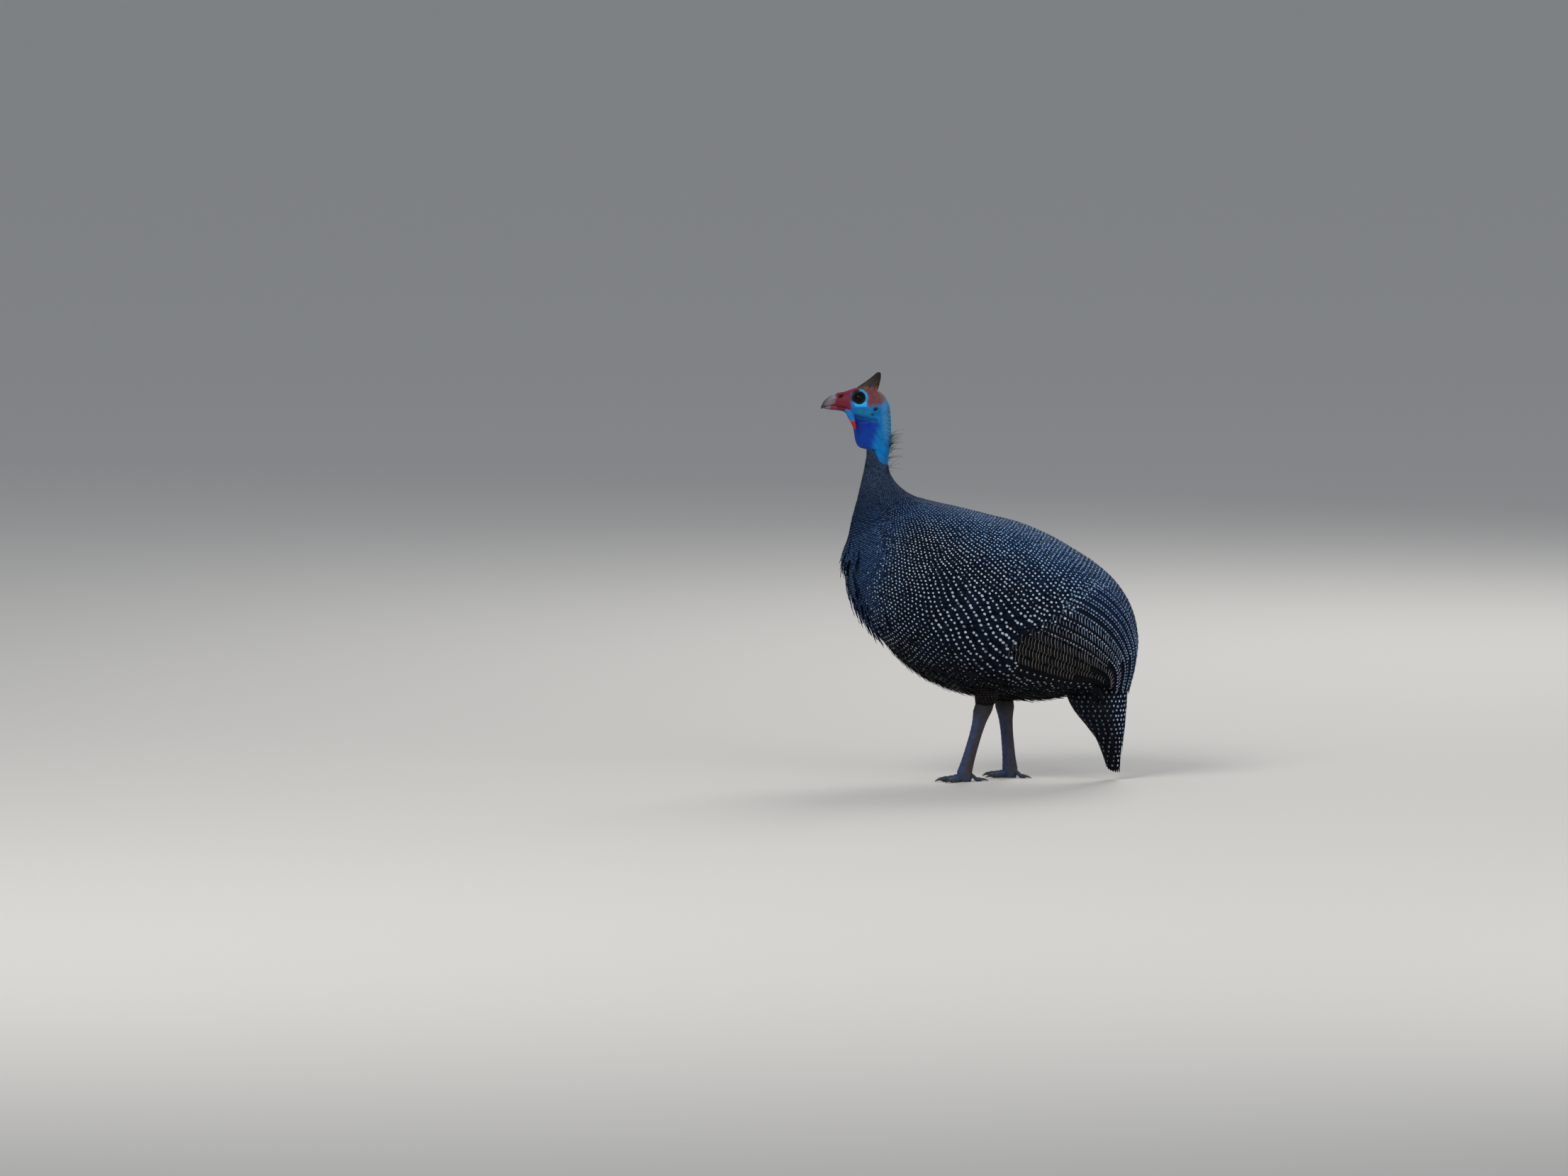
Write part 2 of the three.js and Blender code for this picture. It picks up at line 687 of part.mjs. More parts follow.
// A claw past the end of a toe, bent down to the floor.
function claw(leg, sign, toe) {
  const ankle = point(leg.ankle[0], sign * leg.y, 0);
  const start = toe.length + SEAM;
  const r = toe.radius;
  const stops = [
    { out: start, z: r - 0.7, radius: r * 0.6, lean: 0 },
    { out: start + CLAW_LENGTH * 0.35, z: r - 0.5, radius: r * 0.5, lean: 0.15 },
    { out: start + CLAW_LENGTH * 0.7, z: r * 0.6, radius: r * 0.34, lean: 0.5 },
    { out: start + CLAW_LENGTH, z: 0.75, radius: r * 0.12, lean: 0.8 },
  ];
  return solid(lofted(toeLoops(ankle, toeAngle(leg, sign, toe), stops, 6)));
}

const PLUMAGE = new THREE.MeshStandardMaterial({ color: 0x1d2738, roughness: 0.7 });
const BLUE_SKIN = new THREE.MeshStandardMaterial({ color: 0x1684c4, roughness: 0.55 });
const RED_SKIN = new THREE.MeshStandardMaterial({ color: 0x9c3b3a, roughness: 0.6 });
const HORN = new THREE.MeshStandardMaterial({ color: 0x7b6a5c, roughness: 0.5 });
const LEG_SCALE = new THREE.MeshStandardMaterial({ color: 0x3a3a40, roughness: 0.6 });
const EYE_GLOSS = new THREE.MeshStandardMaterial({ color: 0x120c0a, roughness: 0.08 });
const CLAW_HORN = new THREE.MeshStandardMaterial({ color: 0x2a2624, roughness: 0.4 });

const bird = new THREE.Group();

// Adds a solid to the bird as a named mesh.
function show(name, made, material) {
  const read = made.getMesh();
  const geometry = new THREE.BufferGeometry();
  const positions = new Float32Array(read.numVert * 3);
  for (let i = 0; i < read.numVert; i++) {
    positions.set(read.vertProperties.subarray(i * read.numProp, i * read.numProp + 3), i * 3);
  }
  geometry.setAttribute("position", new THREE.BufferAttribute(positions, 3));
  geometry.setIndex(new THREE.BufferAttribute(read.triVerts, 1));
  geometry.computeVertexNormals();
  const mesh = new THREE.Mesh(geometry, material);
  mesh.name = name;
  bird.add(mesh);
}

const trunk = trunkSolid();
const trunkSwollen = trunkSolid(SEAM);
let whole = flesh(trunk);
for (const { sign } of SIDES) {
  whole = whole.subtract(wingBlock(sign, SEAM));
}

const upperBody = sideOf(whole, SEAMS.neck, 1);
const bareParts = sideOf(upperBody, SEAMS.bareNeck, 1);
const bareHead = sideOf(sideOf(bareParts, SEAMS.head, 1), CASQUE_SEAM, -1);
const head = finishedHead(bareHead);
show("torso", largest(sideOf(whole, SEAMS.neck, -1)), PLUMAGE);
show("neck", largest(sideOf(upperBody, SEAMS.bareNeck, -1)), PLUMAGE);
show("bare_neck", largest(sideOf(bareParts, SEAMS.head, -1)), BLUE_SKIN);
show("head", head, RED_SKIN);
show("casque", casque(), HORN);
show("bill_upper", solid(lofted(uprightLoops(UPPER_BILL_RINGS, 8, BILL_SIDES, 0.9))), HORN);
show("bill_lower", solid(lofted(uprightLoops(LOWER_BILL_RINGS, 6, BILL_SIDES, 0.9))), HORN);
show("tail", tail(trunkSwollen), PLUMAGE);

for (const { name, sign } of SIDES) {
  const leg = LEGS[name];
  const eye = new THREE.SphereGeometry(EYE.radius, 14, 10);
  eye.translate(EYE.x, sign * EYE.y, EYE.z);
  show(`eye_${name}`, solid(eye), EYE_GLOSS);
  show(`wattle_${name}`, wattle(sign, head), BLUE_SKIN);
  show(`wing_${name}`, wing(trunk, trunkSwollen, sign), PLUMAGE);
  show(`thigh_${name}`, thigh(leg, sign, trunkSwollen), PLUMAGE);
  show(`shank_${name}`, shank(leg, sign), LEG_SCALE);
  show(`foot_${name}`, foot(leg, sign), LEG_SCALE);
  for (const toe of TOES) {
    show(`claw_${name}_${toe.name}`, claw(leg, sign, toe), CLAW_HORN);
  }
}

export default bird;
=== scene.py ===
"""A life-size helmeted guineafowl, standing still, in its plumage.

All lengths in this file are millimetres in the model's own frame, unless a name says otherwise: +Z is
up, the bird looks along -X, and its left side faces -Y. Angles round the trunk are degrees from the
line of the back, below zero on the left side and above it on the right side.
"""

from __future__ import annotations

import logging
import math
from collections.abc import Callable
from dataclasses import dataclass
from enum import Enum

import bpy
import numpy as np
from mathutils import Matrix, Vector
from mathutils.bvhtree import BVHTree

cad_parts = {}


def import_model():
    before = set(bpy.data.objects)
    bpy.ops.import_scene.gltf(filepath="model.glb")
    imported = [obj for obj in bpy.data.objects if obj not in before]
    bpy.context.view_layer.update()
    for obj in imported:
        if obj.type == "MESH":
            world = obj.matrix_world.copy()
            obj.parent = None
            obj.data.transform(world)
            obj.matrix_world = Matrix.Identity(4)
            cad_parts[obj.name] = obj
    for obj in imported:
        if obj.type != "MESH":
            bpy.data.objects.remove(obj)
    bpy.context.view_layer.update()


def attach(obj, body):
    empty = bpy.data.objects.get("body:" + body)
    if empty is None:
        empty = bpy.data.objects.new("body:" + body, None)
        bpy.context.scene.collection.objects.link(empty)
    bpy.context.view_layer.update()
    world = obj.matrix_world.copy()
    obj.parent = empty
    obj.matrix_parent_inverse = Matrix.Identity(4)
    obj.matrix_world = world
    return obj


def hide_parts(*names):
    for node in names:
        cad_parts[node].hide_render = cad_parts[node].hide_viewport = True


LOG = logging.getLogger("guineafowl")
MM = 0.001
TINT = "tint"
BAKE_MAP = "OFBake"
BAKE_PATCH = 0.003
BAKE_MARGIN = 0.01
BAKE_EDGE = 0.001
FILM_ROUGHNESS = 0.12
LIGHT_DEPTH = 2 * MM
SEED = 7

Array = np.ndarray


class Side(Enum):
    """A side of the bird, with the sign of its Y."""

    LEFT = -1
    RIGHT = 1

    @property
    def label(self) -> str:
        """The side's name, as the nodes have it."""
        return self.name.lower()


class Grain(Enum):
    """The small relief of a finish."""

    BARBS = "barbs"
    WRINKLES = "wrinkles"
    SCALES = "scales"
    LAYERS = "layers"


def linear(colour: str) -> tuple[float, float, float, float]:
    """Turns a colour into linear light.

    Args:
        colour: An sRGB hex colour, such as "#1684c4".

    Returns:
        Its red, green, blue and alpha.
    """
    parts = [int(colour[i : i + 2], 16) / 255 for i in (1, 3, 5)]
    light = [c / 12.92 if c <= 0.04045 else ((c + 0.055) / 1.055) ** 2.4 for c in parts]
    return (light[0], light[1], light[2], 1.0)


def hue(colour: str) -> Array:
    """Gives a hex colour as an array of linear red, green and blue."""
    return np.array(linear(colour)[:3])


def add_node(
    tree: bpy.types.NodeTree, kind: str, settings: dict | None = None, inputs: dict | None = None
) -> bpy.types.Node:
    """Adds a node to a tree with its settings, values and links.

    Args:
        tree: The tree that gets the node.
        kind: The node's type.
        settings: The node's own properties, by name.
        inputs: Its input sockets, by name or place, each with a value or a socket to link from.

    Returns:
        The new node.
    """
    node = tree.nodes.new(kind)
    for name, value in (settings or {}).items():
        setattr(node, name, value)
    for name, value in (inputs or {}).items():
        if isinstance(value, bpy.types.NodeSocket):
            tree.links.new(value, node.inputs[name])
        else:
            node.inputs[name].default_value = value
    return node


@dataclass(frozen=True)
class Finish:
    """A finish whose colour comes with each piece, and whose relief is drawn by nodes.

    Attributes:
        name: What the finish is, in plain words.
        slot: The record's material slot.
        grain: The kind of small relief.
        grain_mm: The real size of that relief.
        depth_mm: How deep it is.
        mottle: How far the colour strays from the piece's own, as a share.
        mottle_mm: The size of the patches in which it strays.
        roughness: The surface's roughness.
        ior: Its index of refraction.
        shine: How strongly it mirrors, with 0.5 for plain horn or glass.
        coat: How much of a wet or polished film lies on it.
        translucency: How much light scatters in it.
    """

    name: str
    slot: str
    grain: Grain
    grain_mm: float
    depth_mm: float
    mottle: float
    mottle_mm: float
    roughness: float
    ior: float = 1.5
    shine: float = 0.5
    coat: float = 0.0
    translucency: float = 0.0

    def material(self) -> bpy.types.Material:
        """Builds the finish's material.

        Returns:
            A material that reads the piece's own colour and adds relief and mottling.
        """
        made = bpy.data.materials.new(self.name)
        made.use_nodes = True
        tree = made.node_tree
        tree.nodes.clear()
        place = add_node(tree, "ShaderNodeTexCoord").outputs["Object"]
        tint = add_node(tree, "ShaderNodeAttribute", {"attribute_name": TINT}).outputs["Color"]
        patch_scale = 1 / (self.mottle_mm * MM)
        patches = add_node(
            tree, "ShaderNodeTexNoise", None, {"Vector": place, "Scale": patch_scale, "Detail": 4.0}
        )
        shade = add_node(
            tree,
            "ShaderNodeMapRange",
            None,
            {
                "Value": patches.outputs[0],
                "From Min": 0.3,
                "From Max": 0.7,
                "To Min": 1 - self.mottle,
                "To Max": 1 + self.mottle,
            },
        )
        colour = add_node(
            tree, "ShaderNodeVectorMath", {"operation": "SCALE"}, {0: tint, "Scale": shade.outputs[0]}
        )
        bump = add_node(
            tree,
            "ShaderNodeBump",
            None,
            {"Height": self.relief(tree, place), "Strength": 1.0, "Distance": self.depth_mm * MM},
        )
        shader = add_node(
            tree,
            "ShaderNodeBsdfPrincipled",
            None,
            {
                "Base Color": colour.outputs[0],
                "Normal": bump.outputs[0],
                "Roughness": self.roughness,
                "IOR": self.ior,
                "Specular IOR Level": self.shine,
                "Coat Weight": self.coat,
                "Coat Roughness": FILM_ROUGHNESS,
                "Subsurface Weight": self.translucency,
                "Subsurface Scale": LIGHT_DEPTH,
            },
        )
        add_node(tree, "ShaderNodeOutputMaterial", None, {"Surface": shader.outputs[0]})
        return made

    def relief(self, tree: bpy.types.NodeTree, place: bpy.types.NodeSocket) -> bpy.types.NodeSocket:
        """Draws the finish's small relief.

        Args:
            tree: The material's tree.
            place: The socket that gives the place on the piece, in metres.

        Returns:
            The socket that gives the height, from 0 to 1.
        """
        scale = 1 / (self.grain_mm * MM)
        if self.grain is Grain.SCALES:
            cells = add_node(
                tree,
                "ShaderNodeTexVoronoi",
                {"feature": "DISTANCE_TO_EDGE"},
                {"Vector": place, "Scale": scale},
            )
            plate = add_node(
                tree, "ShaderNodeMapRange", None, {"Value": cells.outputs[0], "From Max": 0.16, "To Max": 1.0}
            )
            return plate.outputs[0]
        if self.grain is Grain.LAYERS:
            waves = add_node(
                tree,
                "ShaderNodeTexWave",
                {"bands_direction": "DIAGONAL"},
                {"Vector": place, "Scale": scale / 20, "Distortion": 9.0, "Detail": 3.0, "Detail Scale": 1.5},
            )
            return waves.outputs[1]
        detail = 5.0 if self.grain is Grain.WRINKLES else 2.0
        noise = add_node(
            tree,
            "ShaderNodeTexNoise",
            None,
            {"Vector": place, "Scale": scale, "Detail": detail, "Distortion": 0.6},
        )
        return noise.outputs[0]


# Contour and flight feathers are keratin barbs that hook together: dark, soft and slightly silky.
# Real barbs lie 0.3 mm apart, too fine to show, so the relief is drawn 1.2 mm wide.
FEATHER = Finish(
    "feather vane", "plumage", Grain.BARBS, grain_mm=1.2, depth_mm=0.2, mottle=0.22, mottle_mm=9,
    roughness=0.68, ior=1.54, shine=0.06,
)
# The pale marks are the same vane without its dark pigment, chalky and a little rougher.
MARK = Finish(
    "unpigmented vane", "plumage", Grain.BARBS, grain_mm=0.9, depth_mm=0.1, mottle=0.1, mottle_mm=6,
    roughness=0.8, ior=1.54, shine=0.2,
)
# Bare skin over soft fat and blood, matt and finely creased, with light scattering just under it.
BARE_SKIN = Finish(
    "bare skin", "blue_skin", Grain.WRINKLES, grain_mm=1.6, depth_mm=0.35, mottle=0.12, mottle_mm=4,
    roughness=0.55, ior=1.4, shine=0.2, translucency=0.1,
)
# Bill horn grows in thin layers and wears to a dull polish.
BILL_HORN = Finish(
    "grown horn", "horn", Grain.LAYERS, grain_mm=2.2, depth_mm=0.12, mottle=0.16, mottle_mm=3,
    roughness=0.55, ior=1.55, shine=0.3,
)
# The casque is bone under thin, dry, cracked horn, mottled dark.
CASQUE_HORN = Finish(
    "weathered casque horn", "horn", Grain.WRINKLES, grain_mm=1.8, depth_mm=0.5, mottle=0.45, mottle_mm=2.4,
    roughness=0.66, ior=1.55, shine=0.2,
)
# Legs are plated in dry scutes with a dull shine.
LEG_SCUTE = Finish(
    "leg scutes", "leg_scale", Grain.SCALES, grain_mm=2.6, depth_mm=0.14, mottle=0.3, mottle_mm=6,
    roughness=0.6, ior=1.5, shine=0.35,
)
# Claws are harder horn, worn smooth by the ground.
CLAW_HORN = Finish(
    "worn claw horn", "claw", Grain.LAYERS, grain_mm=1.5, depth_mm=0.06, mottle=0.2, mottle_mm=2,
    roughness=0.35, ior=1.55, coat=0.15,
)
# The eye is wet all over, and near black.
EYE_WET = Finish(
    "wet cornea", "eye", Grain.BARBS, grain_mm=2.0, depth_mm=0.01, mottle=0.1, mottle_mm=2, roughness=0.12,
    ior=1.38, shine=0.14, coat=0.04,
)


def spline(values: Array, place: Array) -> Array:
    """Follows a smooth line through rows of values.

    Args:
        values: The rows, as an array of shape (rows, fields).
        place: Where to read, counted in rows.

    Returns:
        The fields at each place.
    """
    last = len(values) - 1
    place = np.asarray(place, dtype=float)
    i = np.clip(np.floor(place).astype(int), 0, last - 1)
    f = (place - i)[..., None]
    a = values[np.clip(i - 1, 0, last)]
    b = values[i]
    c = values[i + 1]
    d = values[np.clip(i + 2, 0, last)]
    return b + 0.5 * f * (c - a + f * (2 * a - 5 * b + 4 * c - d + f * (3 * (b - c) + d - a)))


def smooth(low: float, high: float, value: Array) -> Array:
    """Rises from 0 to 1 as a value goes from low to high, with soft ends."""
    share = np.clip((value - low) / (high - low), 0, 1)
    return share * share * (3 - 2 * share)


def blended(base: Array, colour: str, weight: Array) -> Array:
    """Mixes a colour into an array of colours by a weight from 0 to 1."""
    return base + (hue(colour) - base) * weight[..., None]


def mixed(first: str, second: str, weight: float) -> Array:
    """Mixes two hex colours: all of the first at 0, all of the second at 1."""
    return blended(hue(first), second, np.asarray(weight))


def varied(colour: str, count: int, low: float, high: float, draw: np.random.Generator) -> Array:
    """Gives a hex colour many times over, each time at a random brightness between two shares."""
    return hue(colour) * draw.uniform(low, high, count)[:, None]


def add_piece(
    name: str,
    points: Array,
    faces: list | Array,
    tints: Array,
    finish: Finish,
    replaced: tuple[str, ...] = (),
) -> bpy.types.Object:
    """Makes a mesh piece that rides on the bird.

    Args:
        name: The piece's name.
        points: Its vertices, in millimetres.
        faces: Its faces, as rows of vertex numbers.
        tints: One linear colour for all of it, or one for each vertex.
        finish: What it is made of.
        replaced: The nodes of the frame that it stands for.

    Returns:
        The new object.
    """
    mesh = bpy.data.meshes.new(name)
    mesh.from_pydata((points * MM).tolist(), [], faces if isinstance(faces, list) else faces.tolist())
    mesh.shade_smooth()
    paint(mesh, tints)
    if finish.name not in bpy.data.materials:
        finish.material()
    mesh.materials.append(bpy.data.materials[finish.name])
    piece = bpy.data.objects.new(name, mesh)
    bpy.context.scene.collection.objects.link(piece)
    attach(piece, "root")
    if replaced:
        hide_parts(*replaced)
    LOG.info("%s: %d faces", name, len(mesh.polygons))
    return piece


def paint(mesh: bpy.types.Mesh, tints: Array) -> None:
    """Gives a mesh its colours.

    Args:
        mesh: The mesh.
        tints: One linear colour, or one for each vertex.
    """
    colours = np.ones((len(mesh.vertices), 4))
    colours[:, :3] = np.clip(tints, 0, 1)
    layer = mesh.attributes.new(TINT, "FLOAT_COLOR", "POINT")
    layer.data.foreach_set("color", colours.ravel())


def add_bake_map(mesh: bpy.types.Mesh, places: Array) -> None:
    """Gives a mesh the map that its colours are baked to.

    Args:
        mesh: The mesh.
        places: One place on the map for each vertex.
    """
    loops = np.empty(len(mesh.loops), dtype=int)
    mesh.loops.foreach_get("vertex_index", loops)
    layer = mesh.uv_layers.new(name=BAKE_MAP)
    layer.data.foreach_set("uv", np.clip(places, BAKE_EDGE, 1 - BAKE_EDGE)[loops].ravel())


def joined(forms: list[tuple[Array, list]]) -> tuple[Array, list]:
    """Puts several forms into one.

    Args:
        forms: Each form's points and faces.

    Returns:
        All the points and all the faces.
    """
    points, faces, base = [], [], 0
    for form_points, form_faces in forms:
        points.append(form_points)
        faces += [[k + base for k in face] for face in form_faces]
        base += len(form_points)
    return np.concatenate(points), faces


def loft(loops: Array) -> tuple[Array, list]:
    """Closes loops of points into one body, with a fan over each end.

    Args:
        loops: Points of shape (loops, sides, 3).

    Returns:
        The points and the faces.
    """
    count, sides = loops.shape[:2]
    points = np.concatenate([loops.reshape(-1, 3), loops[0].mean(0)[None], loops[-1].mean(0)[None]])
    faces = []
    for i in range(count - 1):
        for j in range(sides):
            k = (j + 1) % sides
            faces.append([i * sides + j, i * sides + k, (i + 1) * sides + k, (i + 1) * sides + j])
    first, last = count * sides, count * sides + 1
    base = (count - 1) * sides
    for j in range(sides):
        k = (j + 1) % sides
        faces.append([first, k, j])
        faces.append([last, base + j, base + k])
    return points, faces


def upright_loops(rings: Array, count: int, sides: int, fullness: float = 1.0) -> Array:
    """Turns upright rings along X into loops of points.

    Args:
        rings: Rows of x, top, bottom and half width.
        count: How many loops.
        sides: How many points in each.
        fullness: Under 1 makes the ovals squarer.

    Returns:
        Points of shape (count, sides, 3).
    """
    ring = spline(rings, np.linspace(0, len(rings) - 1, count))[:, None]
    angle = np.linspace(0, 2 * math.pi, sides, endpoint=False)
    c = np.sign(np.cos(angle)) * np.abs(np.cos(angle)) ** fullness
    s = np.sign(np.sin(angle)) * np.abs(np.sin(angle)) ** fullness
    middle, high = (ring[..., 1] + ring[..., 2]) / 2, (ring[..., 1] - ring[..., 2]) / 2
    return np.stack([ring[..., 0] + 0 * c, s * ring[..., 3], middle + c * high], -1)


def level_loops(rings: Array, count: int, sides: int, pinch: float = 0.0) -> Array:
    """Turns level rings along Z into loops of points.

    Args:
        rings: Rows of z, front, rear and half width.
        count: How many loops.
        sides: How many points in each.
        pinch: How much narrower the ovals are at the front, as a share.

    Returns:
        Points of shape (count, sides, 3).
    """
    ring = spline(rings, np.linspace(0, len(rings) - 1, count))[:, None]
    angle = np.linspace(0, 2 * math.pi, sides, endpoint=False)
    c, s = np.cos(angle), np.sin(angle)
    middle, long = (ring[..., 1] + ring[..., 2]) / 2, (ring[..., 2] - ring[..., 1]) / 2
    wide = ring[..., 3] * (1 - pinch * np.maximum(0, -c))
    return np.stack([middle + c * long, s * wide, ring[..., 0] + 0 * c], -1)


class Surface:
    """A smooth surface that feathers lie on, read by two numbers, p along it and q round it."""

    step_p = 0.02
    step_q = 1.0
    spans = (0.0, 1.0, -180.0, 180.0)

    def place(self, p: Array, q: Array) -> Array:
        """Gives points of the surface."""
        raise NotImplementedError

    def slopes(self, p: Array, q: Array) -> tuple[Array, Array]:
        """Gives how far a point moves with p and with q."""
        along = (self.place(p + self.step_p, q) - self.place(p - self.step_p, q)) / (2 * self.step_p)
        round_it = (self.place(p, q + self.step_q) - self.place(p, q - self.step_q)) / (2 * self.step_q)
        return along, round_it

    def normal(self, p: Array, q: Array) -> Array:
        """Gives the outward directions."""
        along, round_it = self.slopes(p, q)
        out = np.cross(along, round_it)
        return out / np.maximum(np.linalg.norm(out, axis=-1, keepdims=True), 1e-9)

    def raised(self, p: Array, q: Array, height: Array) -> Array:
        """Gives points at some height over the surface."""
        return self.place(p, q) + self.normal(p, q) * np.asarray(height)[..., None]

    def moved(self, p: Array, q: Array, along_mm: Array, across_mm: Array) -> tuple[Array, Array]:
        """Walks over the surface from some places.

        Args:
            p: Where the walk starts, along the surface.
            q: Where it starts, round the surface.
            along_mm: How far it goes towards higher p.
            across_mm: How far it goes square to that, towards higher q.

        Returns:
            The p and q where it ends.
        """
        along, round_it = self.slopes(p, q)
        pp = (along * along).sum(-1)
        pq = (along * round_it).sum(-1)
        qq = (round_it * round_it).sum(-1)
        length = np.sqrt(pp)
        square = np.sqrt(np.maximum(qq - pq * pq / pp, 1e-9))
        step_q = across_mm / square
        step_p = along_mm / length - step_q * pq / pp
        return p + step_p, q + step_q

    def unwrapped(self, p: Array, q: Array) -> Array:
        """Gives places on the surface's flat map, from 0 to 1."""
        low_p, high_p, low_q, high_q = self.spans
        shares = np.stack([(p - low_p) / (high_p - low_p), (q - low_q) / (high_q - low_q)], -1)
        return BAKE_MARGIN + (1 - 2 * BAKE_MARGIN) * shares

    @staticmethod
    def grid(end: float, rings: int, sides: int) -> tuple[Array, Array]:
        """Spreads rings of places over a surface, from p = 0 to an end."""
        p = np.linspace(0, end, rings)[:, None] + np.zeros(sides)
        q = np.linspace(-180, 180, sides, endpoint=False)[None] + np.zeros((rings, 1))
        return p, q

    def add_skin(
        self, name: str, p: Array, q: Array, depth: float | Array, tints: Array, replaced: tuple[str, ...]
    ) -> None:
        """Adds the closed skin that lies under the surface's feathers.

        Args:
            name: The piece's name.
            p: The p of its rings of places.
            q: Their q.
            depth: How deep under the surface it lies.
            tints: Its colour, or one for each point.
            replaced: The nodes that it stands for.
        """
        points, faces = loft(self.raised(p, q, -depth))
        piece = add_piece(name, points, faces, tints, FEATHER, replaced)
        ends = [[BAKE_MARGIN, 0.5], [1 - BAKE_MARGIN, 0.5]]
        add_bake_map(piece.data, np.concatenate([self.unwrapped(p, q).reshape(-1, 2), ends]))


# The trunk's ribs from the top of the feathered neck to the rump: back x and z, belly x and z, half width.
# The last three carry on over the root of the tail, as the rump's feathers do.
TRUNK_RIBS = np.array(
    [
        (-110, 403, -137, 410, 11.6),
        (-111.2, 393.5, -137.2, 400.5, 11.8),
        (-112, 384, -138, 391, 12),
        (-107.5, 370, -142, 371, 14.5),
        (-97, 357, -148.5, 343, 21),
        (-80, 346, -156.5, 312, 31),
        (-55, 339.5, -161.5, 275, 46),
        (-22, 332, -158, 243, 60),
        (14, 323, -142, 203, 71),
        (50, 313.5, -112, 163, 79),
        (84, 299, -72, 129, 83),
        (114, 282, -28, 109, 83),
        (142, 263.5, 12, 102, 79),
        (167, 240, 48, 99, 70),
        (185, 210, 78, 100, 58),
        (192.7, 176, 104, 104, 43),
        (191, 147, 120, 105, 36),
        (185.5, 121, 128, 99, 31),
        (179.5, 98, 138, 92, 26.5),
    ]
)
TRUNK_END = len(TRUNK_RIBS) - 1.0


class Trunk(Surface):
    """The outer surface of the plumage from the neck to the rump. p counts ribs and q is the angle."""

    spans = (0.0, TRUNK_END, -180.0, 180.0)
    squareness = 0.025

    def place(self, p: Array, q: Array) -> Array:
        """Gives points of the surface."""
        rib = spline(TRUNK_RIBS, np.clip(p, 0, TRUNK_END))
        angle = np.radians(q)
        swell = 1 + self.squareness * np.sin(2 * angle) ** 2
        c, s = np.cos(angle) * swell, np.sin(angle) * swell
        x = (rib[..., 0] + rib[..., 2]) / 2 + c * (rib[..., 0] - rib[..., 2]) / 2
        z = (rib[..., 1] + rib[..., 3]) / 2 + c * (rib[..., 1] - rib[..., 3]) / 2
        return np.stack([x, rib[..., 4] * s, z], -1)


# The folded wing on the trunk: first and last rib, and its edges as angles from shoulder to rear
WING_START, WING_END = 6.6, 15.9
WING_UPPER = np.array([[77], [57], [45], [37], [31], [27], [24], [22]])
WING_LOWER = np.array([[84], [101], [112], [119], [124], [127], [127], [119]])
WING_LIFT = 2.2
# Where the long feathers come out from under the coverts: the share down the wing, the share to the rear
STRIPS_START = np.array(
    [(0.05, 0.63), (0.3, 0.6), (0.45, 0.58), (0.6, 0.55), (0.7, 0.53), (0.82, 0.515), (1.0, 0.58)]
)
# The zigzag rear edge of the flank feathers, in the same shares
FLANK_EDGE = np.array(
    [(0.54, 0.62), (0.6, 0.49), (0.69, 0.472), (0.76, 0.507), (0.83, 0.5), (0.88, 0.582), (0.97, 0.606)]
)


def wing_place(trunk_p: Array, trunk_q: Array) -> tuple[Array, Array]:
    """Reads where a place on the trunk is on the folded wing.

    Args:
        trunk_p: The place's rib.
        trunk_q: Its angle.

    Returns:
        Its share from shoulder to rear and its share from upper to lower edge.
    """
    a = (trunk_p - WING_START) / (WING_END - WING_START)
    place = np.clip(a, 0, 1) * (len(WING_UPPER) - 1)
    upper, lower = spline(WING_UPPER, place)[..., 0], spline(WING_LOWER, place)[..., 0]
    return a, (np.abs(trunk_q) - upper) / (lower - upper)


def trunk_place(a: Array, b: Array) -> tuple[Array, Array]:
    """Turns a place on the folded wing into a rib and an angle on the trunk, above zero."""
    place = np.clip(a, 0, 1) * (len(WING_UPPER) - 1)
    upper, lower = spline(WING_UPPER, place)[..., 0], spline(WING_LOWER, place)[..., 0]
    return np.minimum(WING_START + (WING_END - WING_START) * a, TRUNK_END), upper + (lower - upper) * b


def wing_lift(trunk_p: Array, trunk_q: Array) -> Array:
    """Gives how far the folded wing stands over the trunk, in millimetres."""
    a, b = wing_place(trunk_p, trunk_q)
    lift = WING_LIFT * smooth(-0.04, 0.3, a) * smooth(1.22, 1.0, a)
    return lift * smooth(-0.1, 0.25, b) * smooth(1.06, 0.8, b)


